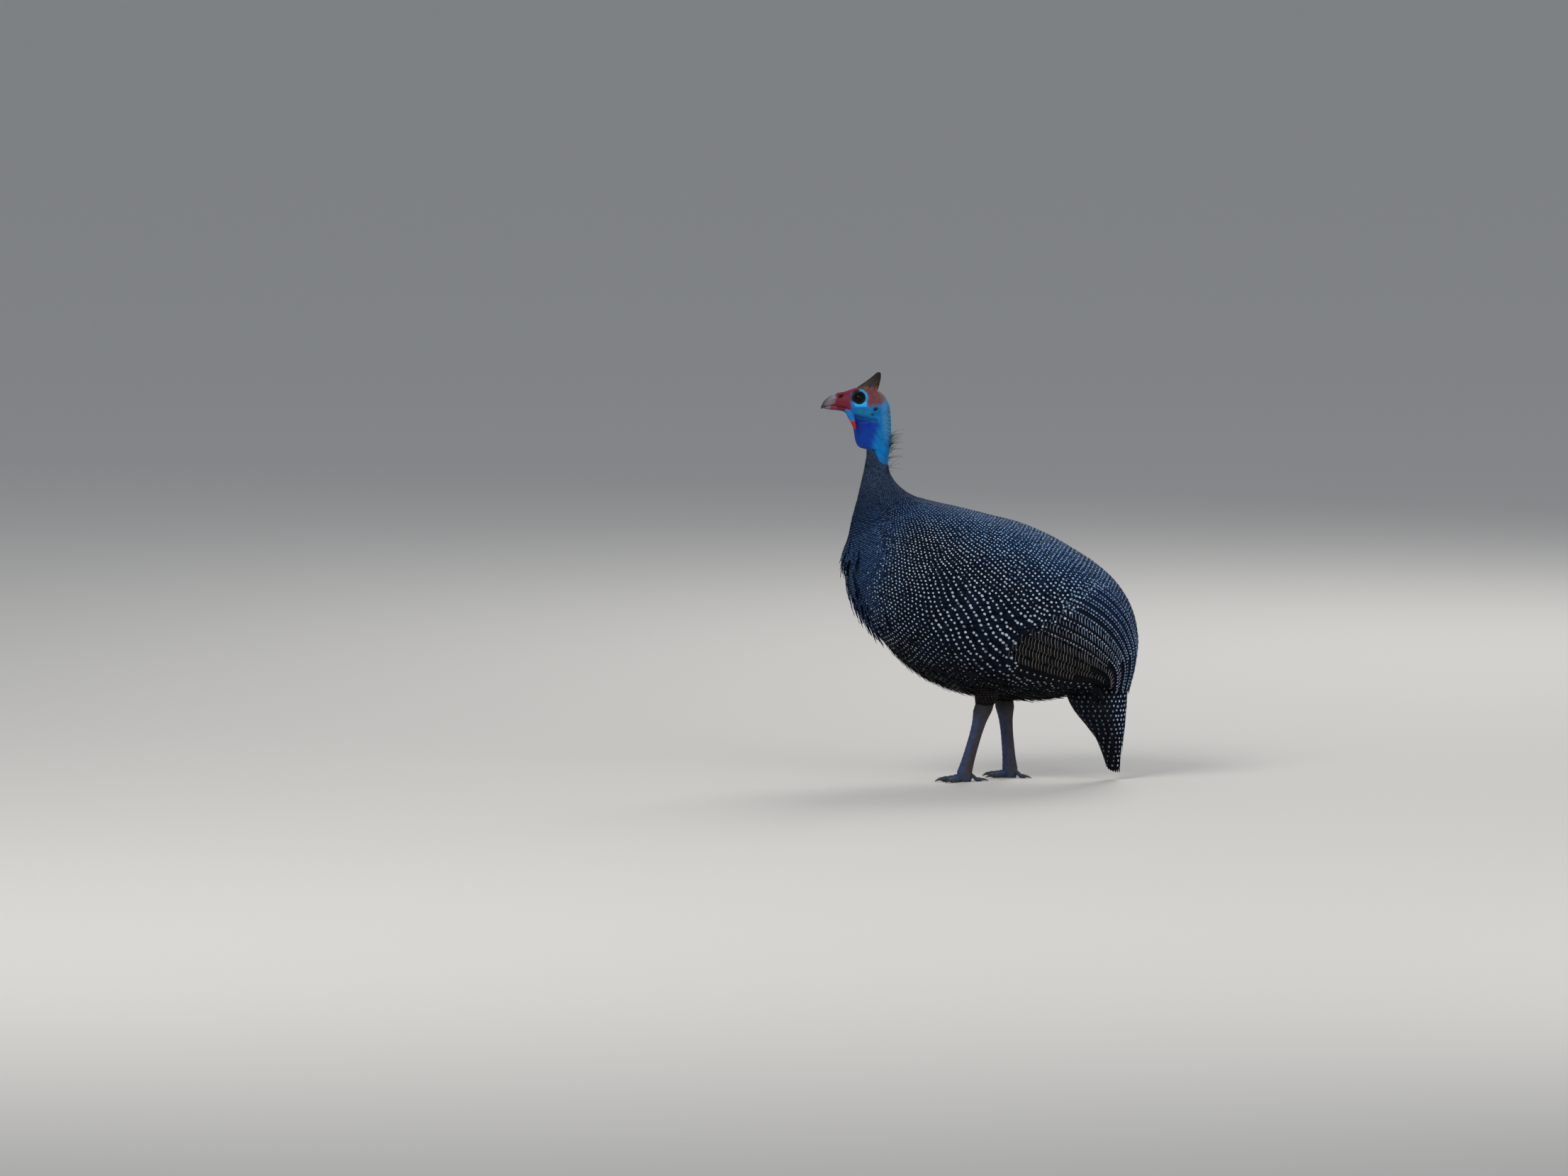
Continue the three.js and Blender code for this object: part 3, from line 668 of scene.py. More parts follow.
@dataclass
class Vanes:
    """Many vanes of one pattern on one surface.

    Attributes:
        surface: What they lie on.
        p: The p of every grid point, of shape (vanes, steps + 1, lanes + 1).
        q: The q of every grid point.
        height: The height of every grid point over the surface.
        tints: One linear colour for each vane.
        thickness: How thick a vane is at its shaft.
    """

    surface: Surface
    p: Array
    q: Array
    height: Array
    tints: Array
    thickness: float = 0.3

    def bodies(self) -> tuple[Array, Array]:
        """Makes the closed vanes.

        Returns:
            The points of all vanes and their four-cornered faces.
        """
        vanes, rows, columns = self.p.shape
        top = self.surface.raised(self.p, self.q, self.height)
        inner = (slice(None), slice(1, -1), slice(1, -1))
        under = self.surface.raised(self.p[inner], self.q[inner], self.height[inner] - self.thickness)
        number = rows * columns + (rows - 2) * (columns - 2)
        points = np.concatenate([top.reshape(vanes, -1, 3), under.reshape(vanes, -1, 3)], 1)
        upper = np.arange(rows * columns).reshape(rows, columns)
        lower = upper.copy()
        lower[1:-1, 1:-1] = rows * columns + np.arange((rows - 2) * (columns - 2)).reshape(rows - 2, -1)
        faces = np.concatenate([self.cells(upper), self.cells(lower)[:, ::-1]])
        shift = (np.arange(vanes) * number)[:, None, None]
        return points.reshape(-1, 3), (faces[None] + shift).reshape(-1, 4)

    @staticmethod
    def cells(grid: Array) -> Array:
        """Gives the faces between the points of a grid."""
        corners = [grid[:-1, :-1], grid[1:, :-1], grid[1:, 1:], grid[:-1, 1:]]
        return np.stack(corners, -1).reshape(-1, 4)

    def tops(self) -> tuple[Array, Array]:
        """Makes only the upper faces, for the marks to be laid on."""
        rows, columns = self.p.shape[1:]
        grid = self.cells(np.arange(rows * columns).reshape(rows, columns))
        shift = (np.arange(len(self.p)) * rows * columns)[:, None, None]
        points = self.surface.raised(self.p, self.q, self.height)
        return points.reshape(-1, 3), (grid[None] + shift).reshape(-1, 4)

    def add(self, name: str, replaced: tuple[str, ...] = ()) -> None:
        """Adds the vanes to the bird as one piece.

        Args:
            name: The piece's name.
            replaced: The nodes that the piece stands for.
        """
        points, faces = self.bodies()
        each = len(points) // len(self.p)
        piece = add_piece(name, points, faces, np.repeat(self.tints, each, 0), FEATHER, replaced)
        rows, columns = self.p.shape[1:]
        u, v = np.meshgrid(np.linspace(0, 1, rows), np.linspace(0, 1, columns), indexing="ij")
        local = np.stack([u, v], -1)
        local = np.concatenate([local.reshape(-1, 2), local[1:-1, 1:-1].reshape(-1, 2)]) * BAKE_PATCH
        root = self.surface.unwrapped(self.p[:, 0, columns // 2], self.q[:, 0, columns // 2])
        add_bake_map(piece.data, (root[:, None] + local[None]).reshape(-1, 2))

    def chosen(self, kept: Array) -> Vanes:
        """Gives only some of the vanes."""
        return Vanes(
            self.surface, self.p[kept], self.q[kept], self.height[kept], self.tints[kept], self.thickness
        )


@dataclass(frozen=True)
class VanePattern:
    """The make of one kind of feather. Its heights are shares of its half width.

    Attributes:
        outline: Half widths from root to tip, as shares of the widest.
        steps: How many faces along it.
        lanes: How many faces across it.
        root_height: How deep its root lies, below zero.
        tip_height: How high its tip stands.
        camber: How far its edges turn down.
        stray: How far its direction strays, in degrees.
        flare: How far the tip may stand off further, at random.
        ragged: How uneven its edges are.
        thickness: How thick it is at its shaft, in millimetres.
    """

    outline: tuple[float, ...] = (0.3, 0.75, 0.97, 1.0, 0.9, 0.62, 0.16)
    steps: int = 6
    lanes: int = 4
    root_height: float = -0.19
    tip_height: float = 0.05
    camber: float = 0.035
    stray: float = 3.0
    flare: float = 0.02
    ragged: float = 0.05
    thickness: float = 0.3

    def grow(
        self,
        surface: Surface,
        roots: Array,
        length: Array,
        half: Array,
        tints: Array,
        draw: np.random.Generator,
    ) -> Vanes:
        """Grows feathers along a surface.

        Args:
            surface: What they grow on.
            roots: Rows of p and q.
            length: Each one's length.
            half: Each one's half width.
            tints: Each one's colour.
            draw: The source of random numbers.

        Returns:
            The vanes.
        """
        count = len(roots)
        u = np.linspace(0, 1, self.steps + 1)[None, :, None]
        v = np.linspace(-1, 1, self.lanes + 1)[None, None, :]
        stops = u[0, :, 0] * (len(self.outline) - 1)
        wide = spline(np.array(self.outline)[:, None], stops)[:, 0][None, :, None]
        turn = np.radians(draw.normal(0, self.stray, count))[:, None, None]
        uneven = 1 + self.ragged * draw.normal(0, 1, (count, self.steps + 1, self.lanes + 1)) * np.abs(v)
        forward = u * length[:, None, None] * (1 - 0.06 * v * v * u)
        sideways = v * wide * half[:, None, None] * uneven
        along = forward * np.cos(turn) - sideways * np.sin(turn)
        across = forward * np.sin(turn) + sideways * np.cos(turn)
        p, q = surface.moved(
            np.broadcast_to(roots[:, 0, None, None], along.shape),
            np.broadcast_to(roots[:, 1, None, None], along.shape),
            along,
            across,
        )
        tip = self.tip_height + self.flare * draw.random(count)[:, None, None]
        rise = self.root_height + (tip - self.root_height) * u**0.75 - self.camber * v * v * wide
        height = rise * half[:, None, None] + draw.normal(0, 0.05, count)[:, None, None]
        return Vanes(surface, p, q, height, tints, self.thickness)


# The short hair-like feathers of the neck stand off it a little.
NECK_DOWN = VanePattern(
    outline=(0.7, 1.0, 0.8, 0.15), steps=3, lanes=2, root_height=-0.8, tip_height=0.4, flare=0.7,
    camber=0.1, stray=7, thickness=0.15,
)
# Loose, ragged breast feathers, whose tips stand off the bird.
BREAST_TUFT = VanePattern(
    outline=(0.5, 0.9, 1.0, 0.95, 0.7, 0.42, 0.1), lanes=2, root_height=-0.35, tip_height=0.75, flare=1.2,
    camber=0.1, stray=8, ragged=0.16,
)
# Broad, neat flank feathers, which end in a zigzag edge.
FLANK_FEATHER = VanePattern(root_height=-0.15, tip_height=0.2, camber=0.06, stray=2)
# Narrow, downy feather ends that hang from the belly.
BELLY_FLUFF = VanePattern(
    outline=(0.5, 1.0, 0.95, 0.7, 0.35, 0.08), lanes=2, root_height=-0.6, tip_height=0.4, flare=1.1,
    camber=0.12, stray=14, ragged=0.2, thickness=0.2,
)
TAIL_COVERT = VanePattern(root_height=-0.05, tip_height=0.2)
THIGH_FEATHER = VanePattern(root_height=-0.4, tip_height=0.12, stray=6, flare=0.14, lanes=2, thickness=0.2)


def rows_round(
    surface: Surface,
    span: tuple[float, float],
    step_mm: Callable[[float], float],
    pitch_mm: Callable[[Array, Array], Array],
) -> Array:
    """Spreads places in offset rows round a surface, as feathers and their marks are spread.

    Args:
        surface: The surface.
        span: The first and last p.
        step_mm: Gives the distance between rows at some p.
        pitch_mm: Gives the distance between places in a row at some p and q.

    Returns:
        Rows of p and q.
    """
    places = []
    p = span[0]
    fine = np.linspace(-180, 180, 361)
    middles = (fine[1:] + fine[:-1]) / 2
    number, phase = 0, 0.0
    while p <= span[1]:
        row = np.full_like(fine, p)
        gaps = np.linalg.norm(np.diff(surface.place(row, fine), axis=0), axis=1)
        weight = np.concatenate([[0], np.cumsum(gaps / pitch_mm(row[1:], middles))])
        if number == 0 or abs(weight[-1] - number) > 0.07 * number:
            number = max(3, round(weight[-1]))
        phase = 0.5 - phase
        shares = (np.arange(number) + phase + 0.25) / number * weight[-1]
        places.append(np.stack([np.full(number, p), np.interp(shares, weight, fine)], -1))
        along, _ = surface.slopes(np.full(3, p), np.array([-90.0, 0.0, 90.0]))
        p += step_mm(p) / np.linalg.norm(along, axis=-1).mean()
    return np.concatenate(places)


# The distance between marks at some ribs: rib, on the back, on the side and on the belly
MARK_PITCH = np.array(
    [
        (0, 2.2, 2.2, 2.2),
        (3, 2.4, 2.4, 2.5),
        (5, 3.1, 3.1, 3.2),
        (6, 3.5, 3.6, 3.6),
        (7, 3.8, 4.1, 3.9),
        (9, 4.0, 5.3, 4.5),
        (11, 4.1, 6.5, 5.4),
        (13, 4.0, 7.0, 6.4),
        (15, 3.8, 6.3, 6.8),
        (18, 4.0, 5.4, 6.8),
    ]
)


def on_flank(p: Array, q: Array) -> Array:
    """Tells how far places are on the flank patch, where the spots are largest, from 0 to 1."""
    a, b = wing_place(p, q)
    return smooth(0.14, 0.3, a) * smooth(0.62, 0.52, a) * smooth(0.46, 0.62, b) * smooth(1.2, 1.0, b)


def mark_pitch(p: Array, q: Array) -> Array:
    """Gives the distance between marks on the trunk, in millimetres."""
    back, side, belly = (np.interp(p, MARK_PITCH[:, 0], MARK_PITCH[:, k]) for k in (1, 2, 3))
    angle = np.abs(q)
    upper = back + (side - back) * smooth(14, 72, angle)
    plain = np.where(angle < 100, upper, side + (belly - side) * smooth(105, 170, angle))
    return plain * (1 + 0.3 * on_flank(p, q))


# Where the barred breast meets the spotted side: rib, and the angle from the back line
BREAST_EDGE = np.array(
    [(2, 84), (5.3, 89), (6.1, 96), (6.9, 111), (7.3, 124), (7.6, 132), (8.0, 143), (8.8, 180)]
)


def breast(p: Array, q: Array, soft: float = 10.0) -> Array:
    """Tells how far places are in the barred breast, from 0 to 1, with an edge some degrees soft."""
    edge = np.interp(p, BREAST_EDGE[:, 0], BREAST_EDGE[:, 1])
    return smooth(-soft, soft, np.abs(q) - edge) * smooth(8.7, 8.0, p)


def plumage_tint(p: Array, q: Array, draw: np.random.Generator) -> Array:
    """Colours feathers by their place on the trunk, with a painted sheen on the back and painted shade on the
    belly.

    Args:
        p: Their ribs.
        q: Their angles.
        draw: The source of random numbers.

    Returns:
        One linear colour for each.
    """
    angle = np.abs(q)
    tint = np.broadcast_to(hue("#070f1e"), (*np.shape(p), 3))
    # Painted sheen: the feathers along the back are lighter and bluer, as if lit from the sky above.
    tint = blended(tint, "#16304f", smooth(75, 15, angle) * smooth(15.5, 11, p))
    tint = blended(tint, "#1b2e49", np.maximum(0.8 * breast(p, q, 38), smooth(6.6, 4.6, p)))
    tint = blended(tint, "#36455e", smooth(5.0, 3.0, p))
    # Painted shade: the lower sides and the belly are darkened to near black.
    tint = blended(tint, "#06080d", smooth(8.2, 11.5, p) * smooth(98, 150, angle))
    tint = blended(tint, "#0b1017", smooth(11, 15, p) * smooth(30, 70, angle))
    return tint * (1 + 0.13 * draw.normal(0, 1, np.shape(p)))[..., None].clip(0.65, 1.4)


@dataclass
class Plumage:
    """The feathers of the trunk: neck, breast, back, belly, and the coverts of the folded wings."""

    trunk: Trunk
    draw: np.random.Generator
    skin_depth: float = 2.4
    skin_end: float = 16.4
    down_end: float = 5.3
    skin_rings: int = 150
    skin_sides: int = 96
    # Each tier of breast tufts: its rib, its spread in degrees and its length
    tuft_tiers: tuple[tuple[float, float, float], ...] = (
        (5.55, 15, 47),
        (6.55, 13, 42),
        (7.4, 12, 38),
        (8.1, 12, 30),
    )
    tufts_in_tier: int = 58
    # Each tier of flank feathers: the first and last share down the wing, how many, and how far they end
    # in front of the zigzag edge
    flank_tiers: tuple[tuple[float, float, int, float], ...] = (
        (0.55, 0.99, 9, 0.0),
        (0.53, 0.97, 8, 0.045),
        (0.55, 0.99, 9, 0.09),
    )
    flank_root: float = 0.115
    flank_half: float = 9.5
    fluff_count: int = 1300
    fluff_spread: float = 24.0
    fluff_width: float = 0.13

    def build(self) -> list[Vanes]:
        """Builds the skin and its feathers.

        Returns:
            All the feathers, for the marks to be laid on.
        """
        self.add_skin()
        large = self.contour()
        down = self.neck_down()
        down.add("down_neck")
        rib = large.p[:, 0, 0]
        for name, low, high in (("breast", -1, 8.2), ("body", 8.2, 11.6), ("rump", 11.6, 99)):
            large.chosen((rib >= low) & (rib < high)).add(f"feathers_{name}")
        tufts = self.breast_tufts()
        tufts.add("feathers_breast_tufts")
        flank = self.flank()
        flank.add("feathers_flank")
        self.belly_fluff().add("feathers_belly_fluff")
        return [down, large, tufts, flank]

    def add_skin(self) -> None:
        """Adds the smooth dark body under the feathers."""
        p, q = self.trunk.grid(self.skin_end, self.skin_rings, self.skin_sides)
        tints = 0.8 * plumage_tint(p, q, self.draw).reshape(-1, 3)
        tints = np.concatenate([tints, tints[:1], tints[-1:]])
        self.trunk.add_skin("skin_trunk", p, q, self.skin_depth, tints, ("torso", "neck"))

    def feathered(self, p: Array, q: Array) -> Array:
        """Tells which places are below the border of the bare blue neck."""
        x, _, z = np.moveaxis(self.trunk.place(p, q), -1, 0)
        front = 409.5 - 1.39 * (x + 134.6)
        rear = 385.5 + 1.1 * (x + 117.6)
        return z < np.where(x < -117.6, front, rear)

    def contour(self) -> Vanes:
        """Grows the body feathers and the wing coverts."""
        roots = rows_round(self.trunk, (0.2, 17.2), lambda p: 0.62 * self.pitch(p, 90.0), self.pitch)
        p, q = roots[:, 0], roots[:, 1]
        a, b = wing_place(p, q)
        start = np.interp(b, STRIPS_START[:, 0], STRIPS_START[:, 1])
        covered = (a > start - 0.06) & (a < 1.2) & (b > 0.03) & (b < 0.97)
        roots = roots[self.feathered(p, q) & ~covered & (p > self.down_end - 0.4)]
        p, q = roots[:, 0], roots[:, 1]
        size = self.pitch(p, q)
        tints = plumage_tint(p, q, self.draw)
        made = VanePattern().grow(self.trunk, roots, 2.5 * size, 0.82 * size, tints, self.draw)
        made.height = made.height + wing_lift(made.p, made.q)
        return made

    def neck_down(self) -> Vanes:
        """Grows the short hair-like feathers of the neck."""
        roots = rows_round(self.trunk, (0.2, self.down_end), lambda p: 1.25, lambda p, q: 1.2 + 0 * q)
        roots = roots[self.feathered(roots[:, 0], roots[:, 1])]
        roots = roots + self.draw.normal(0, 1, roots.shape) * (0.02, 0.9)
        count = len(roots)
        tints = plumage_tint(roots[:, 0], roots[:, 1], self.draw)
        length = self.draw.uniform(4.5, 8, count)
        return NECK_DOWN.grow(self.trunk, roots, length, self.draw.uniform(0.5, 0.8, count), tints, self.draw)

    @staticmethod
    def pitch(p: Array, q: Array) -> Array:
        """Gives the distance between feathers: up to two marks each way."""
        return np.clip((1.2 + 0.55 * smooth(4, 7, p)) * mark_pitch(p, q), 2.9, 11.5)

    def breast_tufts(self) -> Vanes:
        """Grows the loose ragged tufts that stand off the front of the breast, tier under tier."""
        roots, length, half = [], [], []
        count = self.tufts_in_tier
        for rib, spread, reach in self.tuft_tiers:
            ribs = rib + self.draw.normal(0, 0.16, count)
            off_middle = np.abs(self.draw.normal(0, spread, count))
            angles = (180 - off_middle) * self.draw.choice([-1.0, 1.0], count)
            roots.append(np.stack([ribs, angles], -1))
            length.append(reach * self.draw.uniform(0.7, 1.05, count))
            half.append(self.draw.uniform(2.8, 5.6, count))
        roots, length, half = (np.concatenate(rows) for rows in (roots, length, half))
        tints = plumage_tint(roots[:, 0], roots[:, 1], self.draw) * 0.9
        return BREAST_TUFT.grow(self.trunk, roots, length, half, tints, self.draw)

    def flank(self) -> Vanes:
        """Grows the larger flank feathers that lie over the front of the folded wing."""
        b = np.concatenate([np.linspace(first, last, number) for first, last, number, _ in self.flank_tiers])
        ahead = np.concatenate([np.full(number, share) for _, _, number, share in self.flank_tiers])
        tip = np.interp(b, FLANK_EDGE[:, 0], FLANK_EDGE[:, 1]) - ahead
        p, q = trunk_place(tip - self.flank_root, b)
        roots = np.concatenate([np.stack([p, q], -1), np.stack([p, -q], -1)])
        count = len(roots)
        tints = plumage_tint(roots[:, 0], roots[:, 1], self.draw) * 1.1
        length, half = self.draw.uniform(29, 34, count), np.full(count, self.flank_half)
        made = FLANK_FEATHER.grow(self.trunk, roots, length, half, tints, self.draw)
        made.height = made.height + wing_lift(made.p, made.q)
        return made

    def belly_fluff(self) -> Vanes:
        """Grows the soft dark feather ends along the belly and round the legs."""
        count = self.fluff_count
        p = self.draw.uniform(8.8, 16.6, count)
        off_middle = np.abs(self.draw.normal(0, self.fluff_spread, count))
        q = (180 - off_middle) * self.draw.choice([-1.0, 1.0], count)
        size = self.draw.uniform(13, 27, count)
        tint = varied("#07090d", count, 0.7, 1.6, self.draw)
        roots = np.stack([p, q], -1)
        return BELLY_FLUFF.grow(self.trunk, roots, size, self.fluff_width * size, tint, self.draw)


@dataclass
class Wing:
    """The long feathers at the rear of a folded wing, which lie in strips one under another."""

    trunk: Trunk
    side: Side
    draw: np.random.Generator
    count: int = 13
    first_b: float = 0.065
    last_b: float = 0.93
    half_b: float = 0.054
    tip_a: float = 1.15
    shorter_below: float = 0.16
    steps: int = 34
    lanes: int = 6
    thickness: float = 0.35

    def build(self) -> Vanes:
        """Builds the strips.

        Returns:
            The vanes, for the marks to be laid on.
        """
        share = np.linspace(0, 1, self.count)[:, None, None]
        u = np.linspace(0, 1, self.steps + 1)[None, :, None]
        v = np.linspace(-1, 1, self.lanes + 1)[None, None, :]
        p, q = self.place(share, u, v)
        rise = 0.2 + 0.9 * (v + 1) / 2 + 0.5 * (1 - share)
        height = wing_lift(p, q) + rise - 2.2 * smooth(0.15, 0.0, u) - 0.3 * smooth(0.85, 1.0, u)
        bluish = smooth(0.45, 0.0, share[:, 0, 0])
        tint = blended(np.tile(hue("#070b12"), (self.count, 1)), "#10233f", bluish)
        tint = tint * self.draw.uniform(0.8, 1.25, self.count)[:, None]
        made = Vanes(self.trunk, p, q, height, tint, self.thickness)
        made.add(f"flight_feathers_{self.side.label}", (f"wing_{self.side.label}",))
        return made

    def place(self, share: Array, u: Array, v: Array) -> tuple[Array, Array]:
        """Places points of the strips on the trunk.

        Args:
            share: The strip, from 0 at the top to 1 at the bottom.
            u: The share of its length.
            v: From -1 at its upper edge to 1 at its lower edge.

        Returns:
            The p and q of the points.
        """
        middle = self.first_b + (self.last_b - self.first_b) * share
        root = self.root(middle)
        outline = np.minimum(1, 0.7 + 2.2 * u) * np.sqrt(np.clip((1.015 - u) / 0.1, 0.02, 1))
        tip = self.tip_a - self.shorter_below * smooth(0.45, 1.0, share)
        p, q = trunk_place(root + (tip - root) * u + 0 * v, middle + v * outline * self.half_b)
        return p, q * self.side.value

    @staticmethod
    def root(b: Array) -> Array:
        """Gives where strips begin, just under the coverts."""
        return np.interp(b, STRIPS_START[:, 0], STRIPS_START[:, 1]) - 0.05


# The tail from root to tip: z, front, rear and half width
TAIL_RINGS = np.array(
    [
        (134, 118, 184, 22),
        (108, 106, 180, 25),
        (84, 117, 177.5, 23),
        (58, 138, 175, 18),
        (33, 149.5, 172, 13.5),
        (9, 157, 170.5, 9),
    ]
)


class TailForm(Surface):
    """The outer surface of the hanging tail.

    p runs from 0 at its root to 1 at its tip, and q is the angle from its rear.
    """

    step_p = 0.01
    spans = (-0.1, 1.02, -180.0, 180.0)

    def place(self, p: Array, q: Array) -> Array:
        """Gives points of the surface."""
        ring = spline(TAIL_RINGS, np.clip(p, 0, 1) * (len(TAIL_RINGS) - 1))
        angle = np.radians(q)
        middle, long = (ring[..., 1] + ring[..., 2]) / 2, (ring[..., 2] - ring[..., 1]) / 2
        return np.stack([middle + np.cos(angle) * long, np.sin(angle) * ring[..., 3], ring[..., 0]], -1)


@dataclass
class Tail:
    """The hanging tail: long feathers with coverts over their roots."""

    form: TailForm
    draw: np.random.Generator
    count: int = 16
    spread: float = 160.0
    half_angle: float = 17.0
    steps: int = 26
    lanes: int = 6
    root: float = 0.06

    def build(self) -> list[Vanes]:
        """Builds the tail.

        Returns:
            Its feathers, for the marks to be laid on.
        """
        p, q = self.form.grid(0.95, 40, 48)
        self.form.add_skin("skin_tail", p, q, 1.3 + 2.0 * p**4, hue("#06080c"), ("tail",))
        long = self.long_feathers()
        long.add("tail_feathers")
        coverts = self.coverts()
        coverts.add("tail_coverts")
        return [long, coverts]

    def long_feathers(self) -> Vanes:
        """Grows the long tail feathers."""
        share = np.linspace(-1, 1, self.count)[:, None, None]
        u = np.linspace(0, 1, self.steps + 1)[None, :, None]
        v = np.linspace(-1, 1, self.lanes + 1)[None, None, :]
        tip = 1.0 - 0.07 * share**2
        outline = np.minimum(1, 0.7 + 2 * u) * np.sqrt(np.clip((1.015 - u) / 0.09, 0.03, 1))
        p = self.root + (tip - self.root) * u + 0 * v
        out = np.where(share < 0, -v, v)
        q = share * self.spread + v * outline * self.half_angle
        height = 0.1 + 0.5 * out + 0.3 * (1 - np.abs(share)) - 1.0 * smooth(0.1, 0.0, u)
        return Vanes(self.form, p, q, height, varied("#06080d", self.count, 0.8, 1.3, self.draw))

    def coverts(self) -> Vanes:
        """Grows the coverts over the roots of the tail."""
        roots = rows_round(self.form, (0.0, 0.36), lambda p: 7.0, lambda p, q: 8.5 + 0 * q)
        size = self.draw.uniform(0.9, 1.15, len(roots))
        tint = varied("#090e17", len(roots), 0.8, 1.3, self.draw)
        return TAIL_COVERT.grow(self.form, roots, 28 * size, 6.6 * size, tint, self.draw)


class Marks:
    """The pale marks of the plumage, laid on the feathers as thin pieces that follow them."""

    start = 14.0
    reach = 22.0
    clear = 0.12
    steepest = 1.3
    sag = 0.12
    rim = 8

    def __init__(self, coats: list[Vanes], name: str) -> None:
        """Gathers the feathers that the marks lie on.

        Args:
            coats: The feathers.
            name: The name of the piece that the marks make.
        """
        points, faces, base = [], [], 0
        for coat in coats:
            top, cells = coat.tops()
            points.append(top)
            faces.append(cells + base)
            base += len(top)
        self.tree = BVHTree.FromPolygons(np.concatenate(points).tolist(), np.concatenate(faces).tolist())
        self.name = name
        self.points: list[Array] = []
        self.tints: list[Array] = []
        self.places: list[Array] = []
        self.faces: list[list[int]] = []
        self.count = 0

    def lay(self, surface: Surface, p: Array, q: Array, faces: list[list[int]], tint: Array) -> None:
        """Lays one mark on the feathers.

        Args:
            surface: The surface by which the mark is placed.
            p: The p of its points, with the one at its middle first.
            q: Their q.
            faces: Its faces, as rows of point numbers.
            tint: Its colour.
        """
        base = surface.place(p, q)
        out = surface.normal(p, q)
        heights = np.full(len(base), np.nan)
        for k, (point, way) in enumerate(zip(base, out)):
            hit = self.tree.ray_cast(Vector(point + way * self.start), Vector(-way), self.reach)
            if hit[0] is not None:
                heights[k] = self.start - hit[3]
        if np.isnan(heights[0]):
            return
        near = np.abs(heights - heights[0]) < self.steepest
        top = heights[near].max()
        level = np.where(near, np.maximum(heights, top - self.sag), top)
        self.points.append(base + out * (level[:, None] + self.clear))
        self.tints.append(np.broadcast_to(tint, base.shape))
        patch = BAKE_PATCH * np.linspace(0, 1, len(base))[:, None]
        self.places.append(surface.unwrapped(p[:1], q[:1]) + patch)
        self.faces += [[k + self.count for k in face] for face in faces]
        self.count += len(base)

    def spot(
        self, surface: Surface, p: float, q: float, radius: float, tint: Array, stretch: float = 1.0
    ) -> None:
        """Lays a round or oval spot.

        Args:
            surface: The surface by which the spot is placed.
            p: Its p.
            q: Its q.
            radius: Its radius.
            tint: Its colour.
            stretch: How much longer it is along the feathers than across them.
        """
        angle = np.linspace(0, 2 * math.pi, self.rim, endpoint=False)
        along = np.concatenate([[0], np.cos(angle) * radius * stretch])
        across = np.concatenate([[0], np.sin(angle) * radius])
        ps, qs = surface.moved(np.full(self.rim + 1, p), np.full(self.rim + 1, q), along, across)
        faces = [[0, 1 + k, 1 + (k + 1) % self.rim] for k in range(self.rim)]
        self.lay(surface, ps, qs, faces, tint)

    def stroke(self, surface: Surface, p: Array, q: Array, half: float, tint: Array) -> None:
        """Lays a thin line that tapers at its ends.

        Args:
            surface: The surface by which the line is placed.
            p: The p of the points that it follows.
            q: Their q.
            half: Its half width.
            tint: Its colour.
        """
        n = len(p)
        run = np.gradient(surface.place(p, q), axis=0)
        out = surface.normal(p, q)
        square = np.cross(out, run)
        square /= np.maximum(np.linalg.norm(square, axis=1, keepdims=True), 1e-9)
        along, _ = surface.slopes(p, q)
        unit = along / np.linalg.norm(along, axis=1, keepdims=True)
        side = np.cross(out, unit)
        taper = half * np.sqrt(np.sin(np.linspace(0.12, math.pi - 0.12, n)))
        a, b = (square * unit).sum(1) * taper, (square * side).sum(1) * taper
        p_up, q_up = surface.moved(p, q, a, b)
        p_down, q_down = surface.moved(p, q, -a, -b)
        middle = n // 2
        ps = np.concatenate([p[middle : middle + 1], p_up, p_down])
        qs = np.concatenate([q[middle : middle + 1], q_up, q_down])
        faces = [[1 + k, 2 + k, 2 + n + k, 1 + n + k] for k in range(n - 1)]
        self.lay(surface, ps, qs, faces, tint)

    def add(self) -> None:
        """Adds all the marks as one piece."""
        points, tints, places = (np.concatenate(rows) for rows in (self.points, self.tints, self.places))
        used = np.unique(np.concatenate([np.array(face) for face in self.faces]))
        number = np.full(len(points), -1)
        number[used] = np.arange(len(used))
        faces = [[int(number[k]) for k in face] for face in self.faces]
        piece = add_piece(self.name, points[used], faces, tints[used], MARK)
        add_bake_map(piece.data, places[used])


class Strip:
    """One strip of a wing, measured along its length in millimetres."""

    stops = np.linspace(0, 1, 160)

    def __init__(self, wing: Wing, share: float) -> None:
        """Measures the strip.

        Args:
            wing: Its wing.
            share: The strip, from 0 at the top to 1 at the bottom.
        """
        self.wing, self.share = wing, np.array(share)
        self.lowest = share == 1
        self.b = wing.first_b + (wing.last_b - wing.first_b) * share
        run = np.diff(self.points(0.0), axis=0)
        self.reach = np.concatenate([[0], np.cumsum(np.linalg.norm(run, axis=1))])
        self.slope = np.degrees(np.arctan2(-run[:, 2], run[:, 0]))
        self.half = np.linalg.norm(self.points(1.0) - self.points(0.0), axis=1)

    def points(self, v: float) -> Array:
        """Gives points along the strip, v of its half width below its middle."""
        return self.wing.trunk.place(*self.wing.place(self.share, self.stops, np.full_like(self.stops, v)))

    def at(self, mm: Array, v: Array) -> tuple[Array, Array]:
        """Gives the p and q of places some way along the strip."""
        return self.wing.place(self.share, np.interp(mm, self.reach, self.stops), v)

    def steepness(self, mm: float) -> float:
        """Gives how steeply the strip runs down towards the tail, in degrees."""
        return float(np.interp(mm, self.reach[1:], self.slope))

    def half_mm(self, mm: float) -> float:
        """Gives half the strip's width."""
        return float(np.interp(mm, self.reach, self.half))


